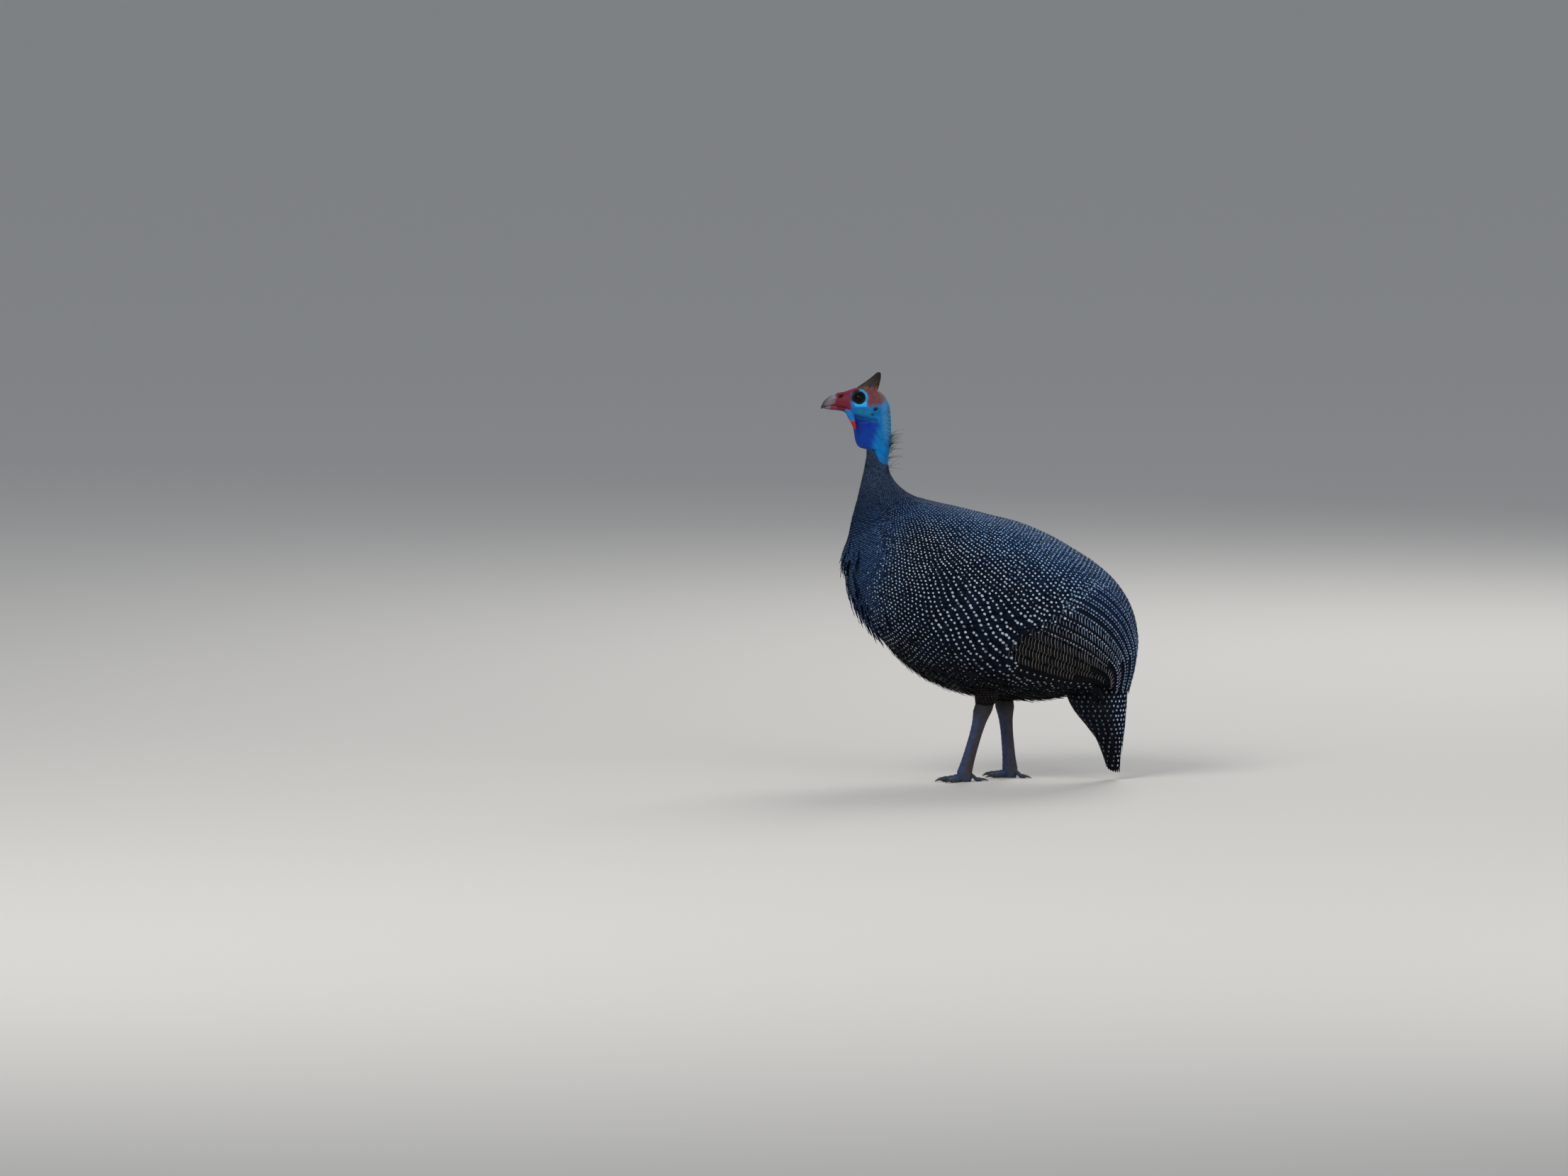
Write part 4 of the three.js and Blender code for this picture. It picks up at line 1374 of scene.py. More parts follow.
@dataclass
class Markings:
    """Where the pale marks are: spots over the body, bars on the breast, dashes on the long feathers."""

    trunk: Trunk
    draw: np.random.Generator
    spot_share: float = 0.19
    dots_above: float = 0.36
    long_below: float = 0.62

    def build(self, coat: list[Vanes], wings: dict[Side, tuple[Wing, Vanes]], tail: list[Vanes]) -> None:
        """Lays all the marks.

        Args:
            coat: The body feathers.
            wings: Each wing's strips.
            tail: The tail's feathers.
        """
        laid_on = coat + [made for _, made in wings.values()]
        white = Marks(laid_on, "marks_spots")
        self.body_spots(white)
        white.add()
        lines = Marks(laid_on, "marks_dashes")
        for wing, _ in wings.values():
            self.dashes(lines, wing)
        lines.add()
        bars = Marks(coat, "marks_bars")
        self.breast_bars(bars)
        bars.add()
        dots = Marks(tail, "marks_tail")
        self.tail_spots(dots)
        dots.add()

    def body_spots(self, marks: Marks) -> None:
        """Lays the rows of round spots."""
        places = rows_round(
            self.trunk,
            (0.9, 17.4),
            lambda p: 0.435 * float(mark_pitch(p, 0.0) + mark_pitch(p, 90.0)),
            self.cross_pitch,
        )
        p, q = places[:, 0], places[:, 1]
        a, b = wing_place(p, q)
        end = np.interp(b, STRIPS_START[:, 0], STRIPS_START[:, 1]) + 0.02
        free = ~((a > end) & (a < 1.2) & (b > 0.03) & (b < 1.0))
        free &= self.draw.random(len(p)) > breast(p, q, 20)
        x, _, z = np.moveaxis(self.trunk.place(p, q), -1, 0)
        free &= (z < 392 - 0.5 * (x + 120)) | (x > -90)
        places = places[free]
        pitch = mark_pitch(places[:, 0], places[:, 1])
        x, _, z = np.moveaxis(self.trunk.place(places[:, 0], places[:, 1]), -1, 0)
        drift = 0.22 * pitch * np.sin(0.11 * x + 0.07 * z)
        sway = 0.26 * pitch * np.sin(0.09 * z - 0.06 * x + 1.0)
        jitter = self.draw.normal(0, 0.08, (2, len(pitch))) * pitch
        p, q = self.trunk.moved(places[:, 0], places[:, 1], drift + jitter[0], sway + jitter[1])
        tints = self.spot_tint(p, q)
        under = smooth(110, 160, np.abs(q)) * smooth(9, 12, p)
        a, b = wing_place(p, q)
        edge = np.interp(b, FLANK_EDGE[:, 0], FLANK_EDGE[:, 1], left=9)
        hidden = smooth(edge, edge + 0.02, a) * smooth(1.0, 0.97, b)
        tints = tints * (1 - 0.6 * hidden)[:, None]
        shrink = (1 - 0.25 * under) * (1 - 0.4 * hidden)
        radius = self.spot_share * pitch * shrink * self.draw.uniform(0.82, 1.15, len(p))
        stretch = self.draw.uniform(0.95, 1.35, len(p))
        for k in range(len(p)):
            marks.spot(self.trunk, float(p[k]), float(q[k]), float(radius[k]), tints[k], float(stretch[k]))

    def spot_tint(self, p: Array, q: Array) -> Array:
        """Colours spots: bluish on the back with a painted sheen, greyer on the side, dimmed on the belly by
        painted shade, faint on the neck.
        """
        angle = np.abs(q)
        tint = np.broadcast_to(hue("#a9b7c2"), (len(p), 3))
        # Painted sheen: spots along the back are bluer.
        tint = blended(tint, "#8fb0d8", smooth(75, 30, angle))
        # Painted shade: spots low on the side and on the belly are dimmer.
        tint = blended(tint, "#59636b", smooth(105, 150, angle) * smooth(8, 11, p))
        tint = blended(tint, "#5f7da4", smooth(7.6, 5.6, p))
        tint = blended(tint, "#43526c", smooth(5.8, 4.2, p))
        covered = np.where(self.draw.random(len(p)) < 0.16, 0.35, 1.0)
        return tint * (covered * self.draw.uniform(0.8, 1.1, len(p)))[:, None]

    def cross_pitch(self, p: Array, q: Array) -> Array:
        """Gives the distance between spots in a row, so that they lie as densely as they should."""
        pitch = mark_pitch(p, q)
        row = 0.5 * (mark_pitch(p, 0.0 * q) + mark_pitch(p, 0.0 * q + 90.0))
        return pitch * pitch / row

    def breast_bars(self, marks: Marks) -> None:
        """Lays the fine wavy bars across the feathers of the neck and breast."""
        places = rows_round(self.trunk, (3.4, 8.7), lambda p: 2.5, lambda p, q: 0 * q + 6.2)
        t = np.linspace(-1, 1, 7)
        for p, q in places:
            if self.draw.random() > float(breast(p, q, 20)) * float(smooth(3.8, 5.2, p)):
                continue
            reach = self.draw.uniform(1.9, 3.4)
            bow = self.draw.uniform(-0.1, 0.5)
            wave = 0.22 * np.sin(5 * t + self.draw.uniform(0, 6))
            ps, qs = self.trunk.moved(np.full(7, p), np.full(7, q), bow * (1 - t * t) + wave, t * reach)
            tint = hue("#4d70a0") * self.draw.uniform(0.4, 0.85) * float(smooth(3, 6, p))
            marks.stroke(self.trunk, ps, qs, 0.2 + 0.16 * float(smooth(3.6, 6, p)), tint)

    def dashes(self, marks: Marks, wing: Wing) -> None:
        """Lays the dots and dashes on the strips of a wing."""
        for k in range(wing.count):
            strip = Strip(wing, k / (wing.count - 1))
            gap = 8.4 if strip.lowest else 3.9 if strip.b < self.dots_above else 4.3
            for at in np.arange(5.0 + 9.0 * (strip.b > 0.4), strip.reach[-1] - 2.0, gap):
                if k % 2 == 0 or at < 0.74 * strip.reach[-1]:
                    self.dash(marks, strip, at + self.draw.uniform(-0.1, 0.1) * gap)

    def dash(self, marks: Marks, strip: Strip, at: float) -> None:
        """Lays the marks of one place on a strip.

        Args:
            marks: The piece that they join.
            strip: The strip.
            at: How far along it they are.
        """
        brown = float(smooth(0.35, 0.75, strip.b))
        tint = mixed("#8ba1c0", "#766c62", brown) * self.draw.uniform(0.5, 1.0)
        tint = tint * (1 - 0.65 * float(smooth(36, 8, at) * smooth(0.35, 0.6, strip.b)))
        if strip.lowest:
            p, q = strip.at(np.array([at]), np.array([0.3]))
            marks.spot(self.trunk, float(p[0]), float(q[0]), self.draw.uniform(1.2, 1.5), hue("#9a9084"), 0.8)
            return
        lean = math.tan(math.radians(float(np.clip(strip.steepness(at) + 8, 5, 46))))
        if strip.b < self.dots_above:
            for v, radius in ((-0.45, 0.8), (0.4, 1.0)):
                p, q = strip.at(np.array([at + v * strip.half_mm(at) * lean]), np.array([v]))
                varying = radius * self.draw.uniform(0.85, 1.1)
                marks.spot(self.trunk, float(p[0]), float(q[0]), varying, tint, 1.3)
            return
        long = strip.b > self.long_below
        top, bottom = (-0.8, 0.66) if long else (-0.75, 0.1)
        t = np.linspace(0, 1, 7)
        slant = (bottom - top) * strip.half_mm(at) * lean
        curl = (0.6 if long else 0.25) * np.sin(5 * t + 2)
        p, q = strip.at(at + (t - 0.5) * slant + curl, top + (bottom - top) * t)
        kept = slice(0, 7) if self.draw.random() < 0.85 else slice(2, 7)
        marks.stroke(self.trunk, p[kept], q[kept], 0.42 if long else 0.46, tint)
        if not long:
            p, q = strip.at(np.array([at + 0.66 * slant]), np.array([0.55]))
            radius = self.draw.uniform(0.9, 1.2)
            marks.spot(self.trunk, float(p[0]), float(q[0]), radius, tint * self.draw.uniform(1.0, 1.5))

    def tail_spots(self, marks: Marks) -> None:
        """Lays the rows of spots on the tail, brighter behind than in front."""
        form = TailForm()
        places = rows_round(
            form, (0.02, 0.95), lambda p: 5.8, lambda p, q: 5.4 + 2.2 * smooth(50, 90, np.abs(q))
        )
        for p, q in places:
            front = float(smooth(45, 75, abs(q)))
            tint = mixed("#a3bddd", "#59646b", front) * self.draw.uniform(0.7, 1.1)
            shift = self.draw.normal(0, 0.35, 2)
            ps, qs = form.moved(np.array([p]), np.array([q]), shift[:1], shift[1:])
            marks.spot(form, float(ps[0]), float(qs[0]), self.draw.uniform(0.9, 1.3), tint, 1.2)


# The head without its bill: x, top, bottom and half width
SKULL_RINGS = np.array(
    [
        (-178, 468.2, 452.4, 5.4),
        (-173.4, 471.7, 450.5, 7.6),
        (-166, 473, 449, 9.2),
        (-158, 475.6, 443, 11.6),
        (-150, 478.2, 437, 13.4),
        (-141, 479.2, 432, 14.2),
        (-132, 478.4, 430, 14.2),
        (-124, 475.6, 432, 13.4),
        (-116.5, 469.3, 437, 11),
        (-111.5, 461, 443, 7.5),
        (-108.9, 454, 449, 3),
    ]
)
# The bare neck with its throat lobe: z, front, rear and half width
BARE_NECK_RINGS = np.array(
    [
        (464, -150, -114.5, 10),
        (455, -157, -109.6, 12.4),
        (445, -159.3, -108.2, 13),
        (435, -155.5, -107.6, 13),
        (425, -153.2, -107.5, 12.8),
        (415, -151.7, -108, 12.6),
        (408.8, -149.4, -108.8, 12.4),
        (405.2, -145.6, -109.2, 12.2),
        (403.4, -139.5, -109.5, 11.9),
        (401.5, -135.6, -109.8, 11.6),
        (392, -136.4, -111, 11.4),
        (380, -138.0, -111.8, 11.2),
        (372, -136.0, -112.5, 10.5),
    ]
)
LOBE_PINCH = 0.38
EYE_X, EYE_Y, EYE_Z, EYE_RADIUS = -146.6, 8.4, 466.6, 6.3
EAR_X, EAR_Z = -126.5, 452.4
NOSTRIL_X, NOSTRIL_Z = -169.0, 468.8


@dataclass
class Head:
    """The bare head and upper neck: skin, eyes, bill, casque and wattles."""

    draw: np.random.Generator
    voxel_mm: float = 0.75
    hair_count: int = 130
    clump_count: int = 78

    def build(self) -> None:
        """Builds the whole head."""
        self.skin()
        self.bill()
        self.casque()
        for side in Side:
            self.eye(side)
            self.wattle(side)
        self.neck_hairs()

    def skin(self) -> None:
        """Adds the skin of head and neck as one sculpted surface."""
        forms = [
            loft(upright_loops(SKULL_RINGS, 40, 48)),
            loft(level_loops(BARE_NECK_RINGS, 60, 48, LOBE_PINCH)),
        ]
        forms += [self.lid(side) for side in Side]
        points, faces, normals = merged(forms, self.voxel_mm, 4)
        shaped = points + normals * self.relief(points)[:, None]
        add_piece("skin_head", shaped, faces, self.tint(points), BARE_SKIN, ("head", "bare_neck"))

    @staticmethod
    def lid(side: Side) -> tuple[Array, list]:
        """Makes the ring of the eyelids."""
        count, sides = 40, 12
        turn = np.linspace(0, 2 * math.pi, count, endpoint=False)[:, None]
        tube = np.linspace(0, 2 * math.pi, sides, endpoint=False)[None]
        reach = 6.1 + 1.35 * np.cos(tube)
        x = EYE_X + reach * np.cos(turn) * 1.05
        z = EYE_Z + reach * np.sin(turn) * 0.95
        y = side.value * (12.1 + 0.9 * np.sin(tube)) + 0 * turn
        points = np.stack([x, y, z], -1).reshape(-1, 3)
        faces = []
        for i in range(count):
            for j in range(sides):
                k, m = (i + 1) % count, (j + 1) % sides
                faces.append([i * sides + j, k * sides + j, k * sides + m, i * sides + m])
        return points, faces

    @staticmethod
    def relief(points: Array) -> Array:
        """Gives how far each point of the head's skin stands out or in.

        Args:
            points: The points.

        Returns:
            One height for each.
        """
        x, y, z = points.T
        on_side = smooth(3, 7, np.abs(y))
        from_eye = np.hypot(x - EYE_X, z - EYE_Z)
        socket = -1.5 * smooth(4.6, 3.4, from_eye) * on_side
        ear = -3.0 * np.exp(-((x - EAR_X) ** 2 / 5 + (z - EAR_Z) ** 2 / 3.2)) * on_side
        ear_rim = 0.9 * np.exp(-((np.hypot((x - EAR_X) / 1.3, z - EAR_Z) - 3.4) ** 2)) * on_side
        nostril = -2.6 * Head.in_nostril(x, z, 10, 2.4) * on_side
        gape = -1.1 * Head.in_gape(x, z, 0.5) * smooth(-161, -164, x)
        neck_folds = -0.55 * Head.creases(points) * on_side
        cheek = np.sin(z * 0.95 + 0.28 * x) ** 6
        cheek_folds = 0.28 * cheek * smooth(434, 438, z) * smooth(459, 454, z)
        cheek_folds = cheek_folds * smooth(-124, -131, x) * on_side
        jaw_groove = -1.1 * np.exp(-((z - 437.5 - 0.1 * (x + 140)) ** 2) / 2.2)
        jaw_groove = jaw_groove * smooth(-128, -134, x) * on_side
        lobe_edge = -0.9 * np.exp(-((x + 136.2 - 0.1 * (z - 420)) ** 2) / 2.5) * smooth(438, 432, z)
        lobe_edge = lobe_edge * smooth(402, 407, z) * on_side
        notches = -0.35 * Head.nape_notches(points)
        folds = neck_folds + cheek_folds + jaw_groove + lobe_edge + notches
        return socket + ear + ear_rim + nostril + gape + folds

    @staticmethod
    def in_nostril(x: Array, z: Array, long: float, high: float) -> Array:
        """Gives how deep in the slit of the nostril each point is, from 0 to 1."""
        slit_x = (x - NOSTRIL_X) * 0.86 + (z - NOSTRIL_Z) * 0.5
        slit_z = (z - NOSTRIL_Z) * 0.86 - (x - NOSTRIL_X) * 0.5
        return np.exp(-(slit_x**2 / long + slit_z**2 / high))

    @staticmethod
    def in_gape(x: Array, z: Array, wide: float) -> Array:
        """Gives how deep in the line of the mouth each point is, from 0 to 1."""
        return np.exp(-((z - 455.2 + 0.12 * (x + 170)) ** 2) / wide)

    @staticmethod
    def creases(points: Array) -> Array:
        """Gives how deep in a crease of the bare neck each point is, from 0 to 1."""
        x, y, z = points.T
        phase = 0.62 * x + 0.5 * z + 1.3 * np.sin(0.21 * z) + 0.9 * np.sin(0.37 * x - 0.29 * z + 0.2 * y)
        patchy = 0.6 + 0.4 * np.sin(0.5 * x + 0.33 * z)
        line = np.clip(np.sin(phase), 0, 1) ** 6 * patchy
        return line * smooth(450, 442, z) * smooth(384, 396, z) * smooth(-139, -133, x)

    @staticmethod
    def nape_notches(points: Array) -> Array:
        """Gives how deep in a notch of the nape's rear edge each point is, from 0 to 1."""
        x, y, z = points.T
        edge = smooth(-114.6, -110.5, x) * smooth(404, 414, z) * smooth(458, 450, z)
        wave = np.sin(1.25 * z + 0.55 * x + 0.9 * np.sin(0.43 * z) + 0.35 * y)
        return edge * smooth(0.35, 0.95, wave)

    @staticmethod
    def tint(points: Array) -> Array:
        """Colours the skin of head and neck by place.

        Args:
            points: The points.

        Returns:
            One linear colour for each.
        """
        x, y, z = points.T
        on_side = smooth(2.5, 6, np.abs(y))
        drift = 0.8 * np.sin(0.9 * x + 0.5 * z) + 0.6 * np.sin(1.7 * z - 0.6 * x + 1)
        above_jaw = z - 442 + 0.22 * (x + 138)
        tint = np.broadcast_to(hue("#006cac"), (len(x), 3))
        # Painted shade: the creases of the bare neck are darker.
        tint = blended(tint, "#064a80", 0.8 * Head.creases(points))
        tint = blended(tint, "#0b62a8", smooth(-133, -141, x) * smooth(462, 452, z))
        lobe = smooth(5, -5, x + drift + 132 - 0.33 * (z - 404)) * smooth(0, -5, above_jaw)
        tint = blended(tint, "#05358e", lobe)
        # Painted shade: the upper part of the throat lobe, under the jaw, is darker.
        tint = blended(tint, "#062682", 0.7 * np.exp(-((z - 433) ** 2) / 26) * smooth(-129, -137, x))
        # Painted light: a greenish highlight along the ridge of the jaw.
        green = np.exp(-((z - 448.5 + 0.12 * (x + 140)) ** 2) / 7)
        green = green * smooth(-154, -148, x) * smooth(-124, -132, x)
        tint = blended(tint, "#1a7482", 0.75 * green)
        shade = np.exp(-(above_jaw**2) / 5) * smooth(-121, -127, x) * smooth(-155, -151, x)
        tint = blended(tint, "#0a2c46", 0.75 * shade)
        nape = smooth(-122, -115, x + 0.12 * (z - 445)) * smooth(404, 425, z) * smooth(467, 462, z)
        tint = blended(tint, "#4f86ac", 0.55 * nape)
        tint = blended(tint, "#10202e", 0.5 * Head.nape_notches(points))
        chin = 4 * smooth(-162, -167, x)
        face = smooth(-154, -158.5, x + 0.6 * drift)
        face = face * smooth(451, 454.5, z + 0.25 * (x + 166) + 0.4 * drift + chin)
        tint = blended(tint, "#6c1f2e", face)
        brow = smooth(469.5, 473, z + 0.12 * (x + 146) + 0.5 * drift) * smooth(-117, -124, x)
        tint = blended(tint, "#74233e", brow)
        behind = smooth(-138.5, -134.5, x + drift) * smooth(-113.5, -121, x + drift)
        behind = behind * smooth(454.5, 460, z - 0.15 * (x + 128) + 1.3 * drift)
        tint = blended(tint, "#703639", behind)
        base = smooth(471.5, 475.5, z + 0.6 * drift) * smooth(-153, -146, x)
        tint = blended(tint, "#61403f", 0.8 * base)
        crown = smooth(-130, -118, x + drift) * smooth(459, 468, z)
        tint = blended(tint, "#6a5850", 0.75 * crown)
        warp_x, warp_z = x + 1.4 * np.sin(0.9 * z + 0.3 * x), z + 1.5 * np.sin(0.8 * x - 0.4 * z)
        blotch = smooth(0.0, 0.8, np.sin(1.1 * warp_x + 0.5 * warp_z) * np.sin(1.2 * warp_z - 0.6 * warp_x))
        tint = blended(tint, "#3d2a2a", 0.35 * blotch * np.maximum(crown, behind))
        from_eye = np.hypot(x - EYE_X, z - EYE_Z)
        ahead = smooth(1.0, -3.5, x - EYE_X - 1.2) * smooth(-7, -3, z - EYE_Z)
        ring = smooth(11.4, 9.2, from_eye) * on_side
        tint = blended(tint, "#1492c8", ring * (1 - ahead))
        # Painted shade: in front of the eye, where there is no blue ring, a dark band lies round the lids.
        tint = blended(tint, "#150f14", 0.85 * ring * ahead)
        below = smooth(8.5, 6, np.abs(x - EYE_X - 2)) * smooth(454.5, 457.5, z)
        below = below * smooth(463, 460, z) * on_side
        tint = blended(tint, "#2fb0de", 0.85 * below)
        tint = blended(tint, "#020305", smooth(8.4, 7.4, from_eye) * on_side)
        # Painted shade: the ear opening and the crease of the fold below and behind it are darkened.
        ear = np.exp(-((x - EAR_X) ** 2 / 6 + (z - EAR_Z) ** 2 / 4))
        second = 0.8 * np.exp(-((x - EAR_X + 4) ** 2 / 4 + (z - EAR_Z + 6) ** 2 / 2))
        tint = blended(tint, "#0c141c", np.clip(1.3 * (ear + second), 0, 1) * on_side)
        grey = np.exp(-((x - EAR_X + 2.5) ** 2 / 26 + (z - EAR_Z - 4) ** 2 / 12))
        tint = blended(tint, "#4b5a58", 0.6 * grey * on_side)
        # Painted shade: the slit of the nostril is darkened.
        nostril = np.clip(1.6 * Head.in_nostril(x, z, 11, 3), 0, 1)
        tint = blended(tint, "#0d0608", nostril * on_side)
        # Painted shade: the line of the mouth is darkened.
        gape = Head.in_gape(x, z, 0.7) * smooth(-160, -164, x)
        return blended(tint, "#241216", 0.8 * gape)

    def bill(self) -> None:
        """Adds the upper and lower bill."""
        upper = np.array(
            [
                (-193.2, 454.2, 452.4, 0.7),
                (-190.6, 460, 453, 2.4),
                (-186, 465, 454.4, 4),
                (-180.5, 468.9, 455.2, 5.6),
                (-173.4, 471.2, 455.8, 7),
                (-169, 468, 458, 4),
            ]
        )
        lower = np.array(
            [
                (-189.4, 454.2, 452.6, 1),
                (-186, 456, 451.7, 2.5),
                (-180.5, 457.2, 451.1, 4.1),
                (-173.4, 458, 450.8, 5.7),
                (-169, 457, 453, 3),
            ]
        )
        for name, rings in (("bill_upper", upper), ("bill_lower", lower)):
            points, faces = loft(upright_loops(rings, 44, 40, 0.9))
            x, _, z = points.T
            tint = np.broadcast_to(hue("#6b6069"), (len(x), 3))
            # Painted highlight: the top of the upper bill is lighter and bluish-grey.
            culmen_highlight = 0.5 * smooth(464, 468.5, z + 0.45 * (x + 176)) * smooth(-188, -184, x)
            tint = blended(tint, "#878d9e", culmen_highlight)
            tint = blended(tint, "#3c373d", smooth(-184.5, -191, x - 0.35 * (z - 458)))
            edge = -175.5 - 6.5 * smooth(460.5, 456, z) + 0.8 * np.sin(1.7 * z)
            tint = blended(tint, "#6c1f2e", smooth(-1.8, 1.8, x - edge))
            # Painted shade: a dark line runs along the lower edge of the upper bill, where the lower bill
            # meets it.
            tint = blended(tint, "#1d1416", 0.8 * np.exp(-((z - 455.4) ** 2) / 0.9) * (name == "bill_upper"))
            add_piece(f"horn_{name}", points, faces, tint, BILL_HORN, (name,))

    def casque(self) -> None:
        """Adds the bony casque on the crown."""
        rings = np.array(
            [
                (473, -152.5, -125, 7.6),
                (477, -150.5, -123.4, 7),
                (480, -147.2, -122.4, 6.1),
                (484, -141.2, -121.4, 4.9),
                (489, -134.2, -120.4, 3.8),
                (493, -129.2, -120.1, 2.8),
                (495.6, -126.4, -120.4, 1.9),
                (496.7, -124.8, -121.2, 1.1),
                (497, -123.6, -122.2, 0.4),
            ]
        )
        points, faces = loft(level_loops(rings, 60, 56))
        x, y, z = points.T
        rough = 0.35 * np.sin(1.1 * x + 0.6 * z) * np.sin(0.9 * z + 1.7 * np.abs(y)) * smooth(476, 480, z)
        shaped = points + np.stack([0 * x, np.sign(y) * rough, 0 * z], -1)
        tint = np.broadcast_to(hue("#332a22"), (len(x), 3))
        tint = blended(tint, "#69403f", smooth(482.5, 477, z + 0.8 * np.sin(1.4 * x)))
        tint = blended(tint, "#191613", smooth(484, 492, z))
        spots = smooth(0.3, 0.8, np.sin(1.25 * x + 0.3 * z) * np.sin(1.1 * z + 0.5 * x + np.abs(y)))
        tint = blended(tint, "#14100d", 0.85 * spots)
        add_piece("horn_casque", shaped, faces, tint, CASQUE_HORN, ("casque",))

    def eye(self, side: Side) -> None:
        """Adds an eyeball with its iris."""
        rows, sides = 40, 48
        turn = np.linspace(0.02, math.pi - 0.02, rows)[:, None]
        round_it = np.linspace(0, 2 * math.pi, sides, endpoint=False)[None]
        out = np.cos(turn) * EYE_RADIUS + 0.5 * smooth(0.6, 0.0, turn)
        x = EYE_X + EYE_RADIUS * np.sin(turn) * np.cos(round_it)
        z = EYE_Z + EYE_RADIUS * np.sin(turn) * np.sin(round_it)
        y = side.value * (EYE_Y + out) + 0 * round_it
        points, faces = loft(np.stack([x, y, z], -1))
        from_middle = np.hypot(points[:, 0] - EYE_X, points[:, 2] - EYE_Z)
        tint = np.broadcast_to(hue("#0b0604"), (len(points), 3))
        tint = blended(tint, "#020202", smooth(3.4, 2.9, from_middle))
        tint = blended(tint, "#0d0705", smooth(4.6, 5.6, from_middle))
        add_piece(f"eyeball_{side.label}", points, faces, tint, EYE_WET, (f"eye_{side.label}",))

    def wattle(self, side: Side) -> None:
        """Adds a wattle, a soft flap that hangs from the corner of the mouth."""
        rings = np.array(
            [
                (459, -161, 3, 6.5, 3),
                (455, -160.6, 5, 8.4, 5),
                (451, -159.4, 6.6, 10.6, 8),
                (446, -157.4, 7.6, 12.4, 9.2),
                (441, -155.6, 8.6, 14, 7.4),
                (436, -153.8, 9.4, 15.4, 5.2),
                (430.4, -152.2, 10.8, 15.6, 3.4),
                (428.4, -151.6, 12.2, 14.6, 1.6),
            ]
        )
        ring = spline(rings, np.linspace(0, len(rings) - 1, 40))[:, None]
        angle = np.linspace(0, 2 * math.pi, 36, endpoint=False)
        c, s = np.cos(angle), np.sin(angle)
        middle, wide = (ring[..., 2] + ring[..., 3]) / 2, (ring[..., 3] - ring[..., 2]) / 2
        ripple = 0.35 * np.sin(0.8 * ring[..., 0]) * s
        x = ring[..., 1] + c * ring[..., 4] / 2 + 0.8 * s + ripple
        loops = np.stack([x, side.value * (middle + s * wide), ring[..., 0] + 0 * c], -1)
        points, faces = loft(loops)
        tint = np.broadcast_to(hue("#0a66ab"), (len(points), 3))
        tint = blended(tint, "#a81f28", smooth(440.5, 437.5, points[:, 2]))
        tint = blended(tint, "#6c1f2e", smooth(450.5, 454.5, points[:, 2]))
        name = f"wattle_{side.label}"
        add_piece(f"skin_{name}", points, faces, tint, BARE_SKIN, (name,))

    def neck_hairs(self) -> None:
        """Adds the thin dark hair-like feathers that stand off the hind neck."""
        forms = []
        for k in range(self.hair_count):
            clump = k < self.clump_count
            z = self.draw.normal(409, 5.5) if clump else self.draw.uniform(376, 424)
            root = np.array([-111.2 + 0.03 * (z - 400), self.draw.normal(0, 2.6), z])
            if clump:
                length = self.draw.uniform(6, 17)
                lift = math.radians(self.draw.normal(52, 22))
            else:
                length = self.draw.choice([5.0, 7.0, 18.0], p=[0.5, 0.3, 0.2])
                lift = math.radians(self.draw.uniform(-8, 60))
            way = np.array([math.cos(lift), self.draw.normal(0, 0.2), math.sin(lift)])
            t = np.linspace(0, 1, 9)[:, None]
            fall = (self.draw.uniform(-1, 4), self.draw.normal(0, 1.5), self.draw.uniform(-4.5, 3.0))
            line = root + way * length * t + np.array(fall) * t * t
            thick = 0.26 * (1 - 0.8 * t)
            corners = [line + thick * np.array([0, math.cos(w), math.sin(w)]) for w in (0.5, 2.6, 4.7)]
            forms.append(loft(np.stack(corners, 1)))
        points, faces = joined(forms)
        add_piece("neck_hairs", points, faces, hue("#0c0c10"), FEATHER)


class Limb(Surface):
    """A straight limb of level ovals. p runs from 0 at its top to 1, and q is the angle from its rear."""

    step_p = 0.01

    def __init__(self, top: Array, bottom: Array, rings: Array) -> None:
        """Sets the limb's line and its girth.

        Args:
            top: Where it starts.
            bottom: Where it ends.
            rings: Rows of the share of its length, half depth along X and half width.
        """
        self.top, self.bottom, self.rings = top, bottom, rings

    def place(self, p: Array, q: Array) -> Array:
        """Gives points of the surface."""
        p = np.clip(p, 0, 1)
        long = np.interp(p, self.rings[:, 0], self.rings[:, 1])
        wide = np.interp(p, self.rings[:, 0], self.rings[:, 2])
        middle = self.top + (self.bottom - self.top) * p[..., None]
        angle = np.radians(q)
        oval = np.stack([np.cos(angle) * long, np.sin(angle) * wide, 0 * angle], -1)
        return middle + oval


@dataclass(frozen=True)
class Toe:
    """A toe: its name, its angle from straight ahead, length, radius and the height of its root."""

    name: str
    angle: float
    length: float
    radius: float
    root_height: float


TOES = (
    Toe("inner", -38, 22, 3.7, 5.2),
    Toe("middle", 0, 28, 4.1, 5.4),
    Toe("outer", 36, 23, 3.7, 5.2),
    Toe("hind", 184, 21, 3.1, 13),
)


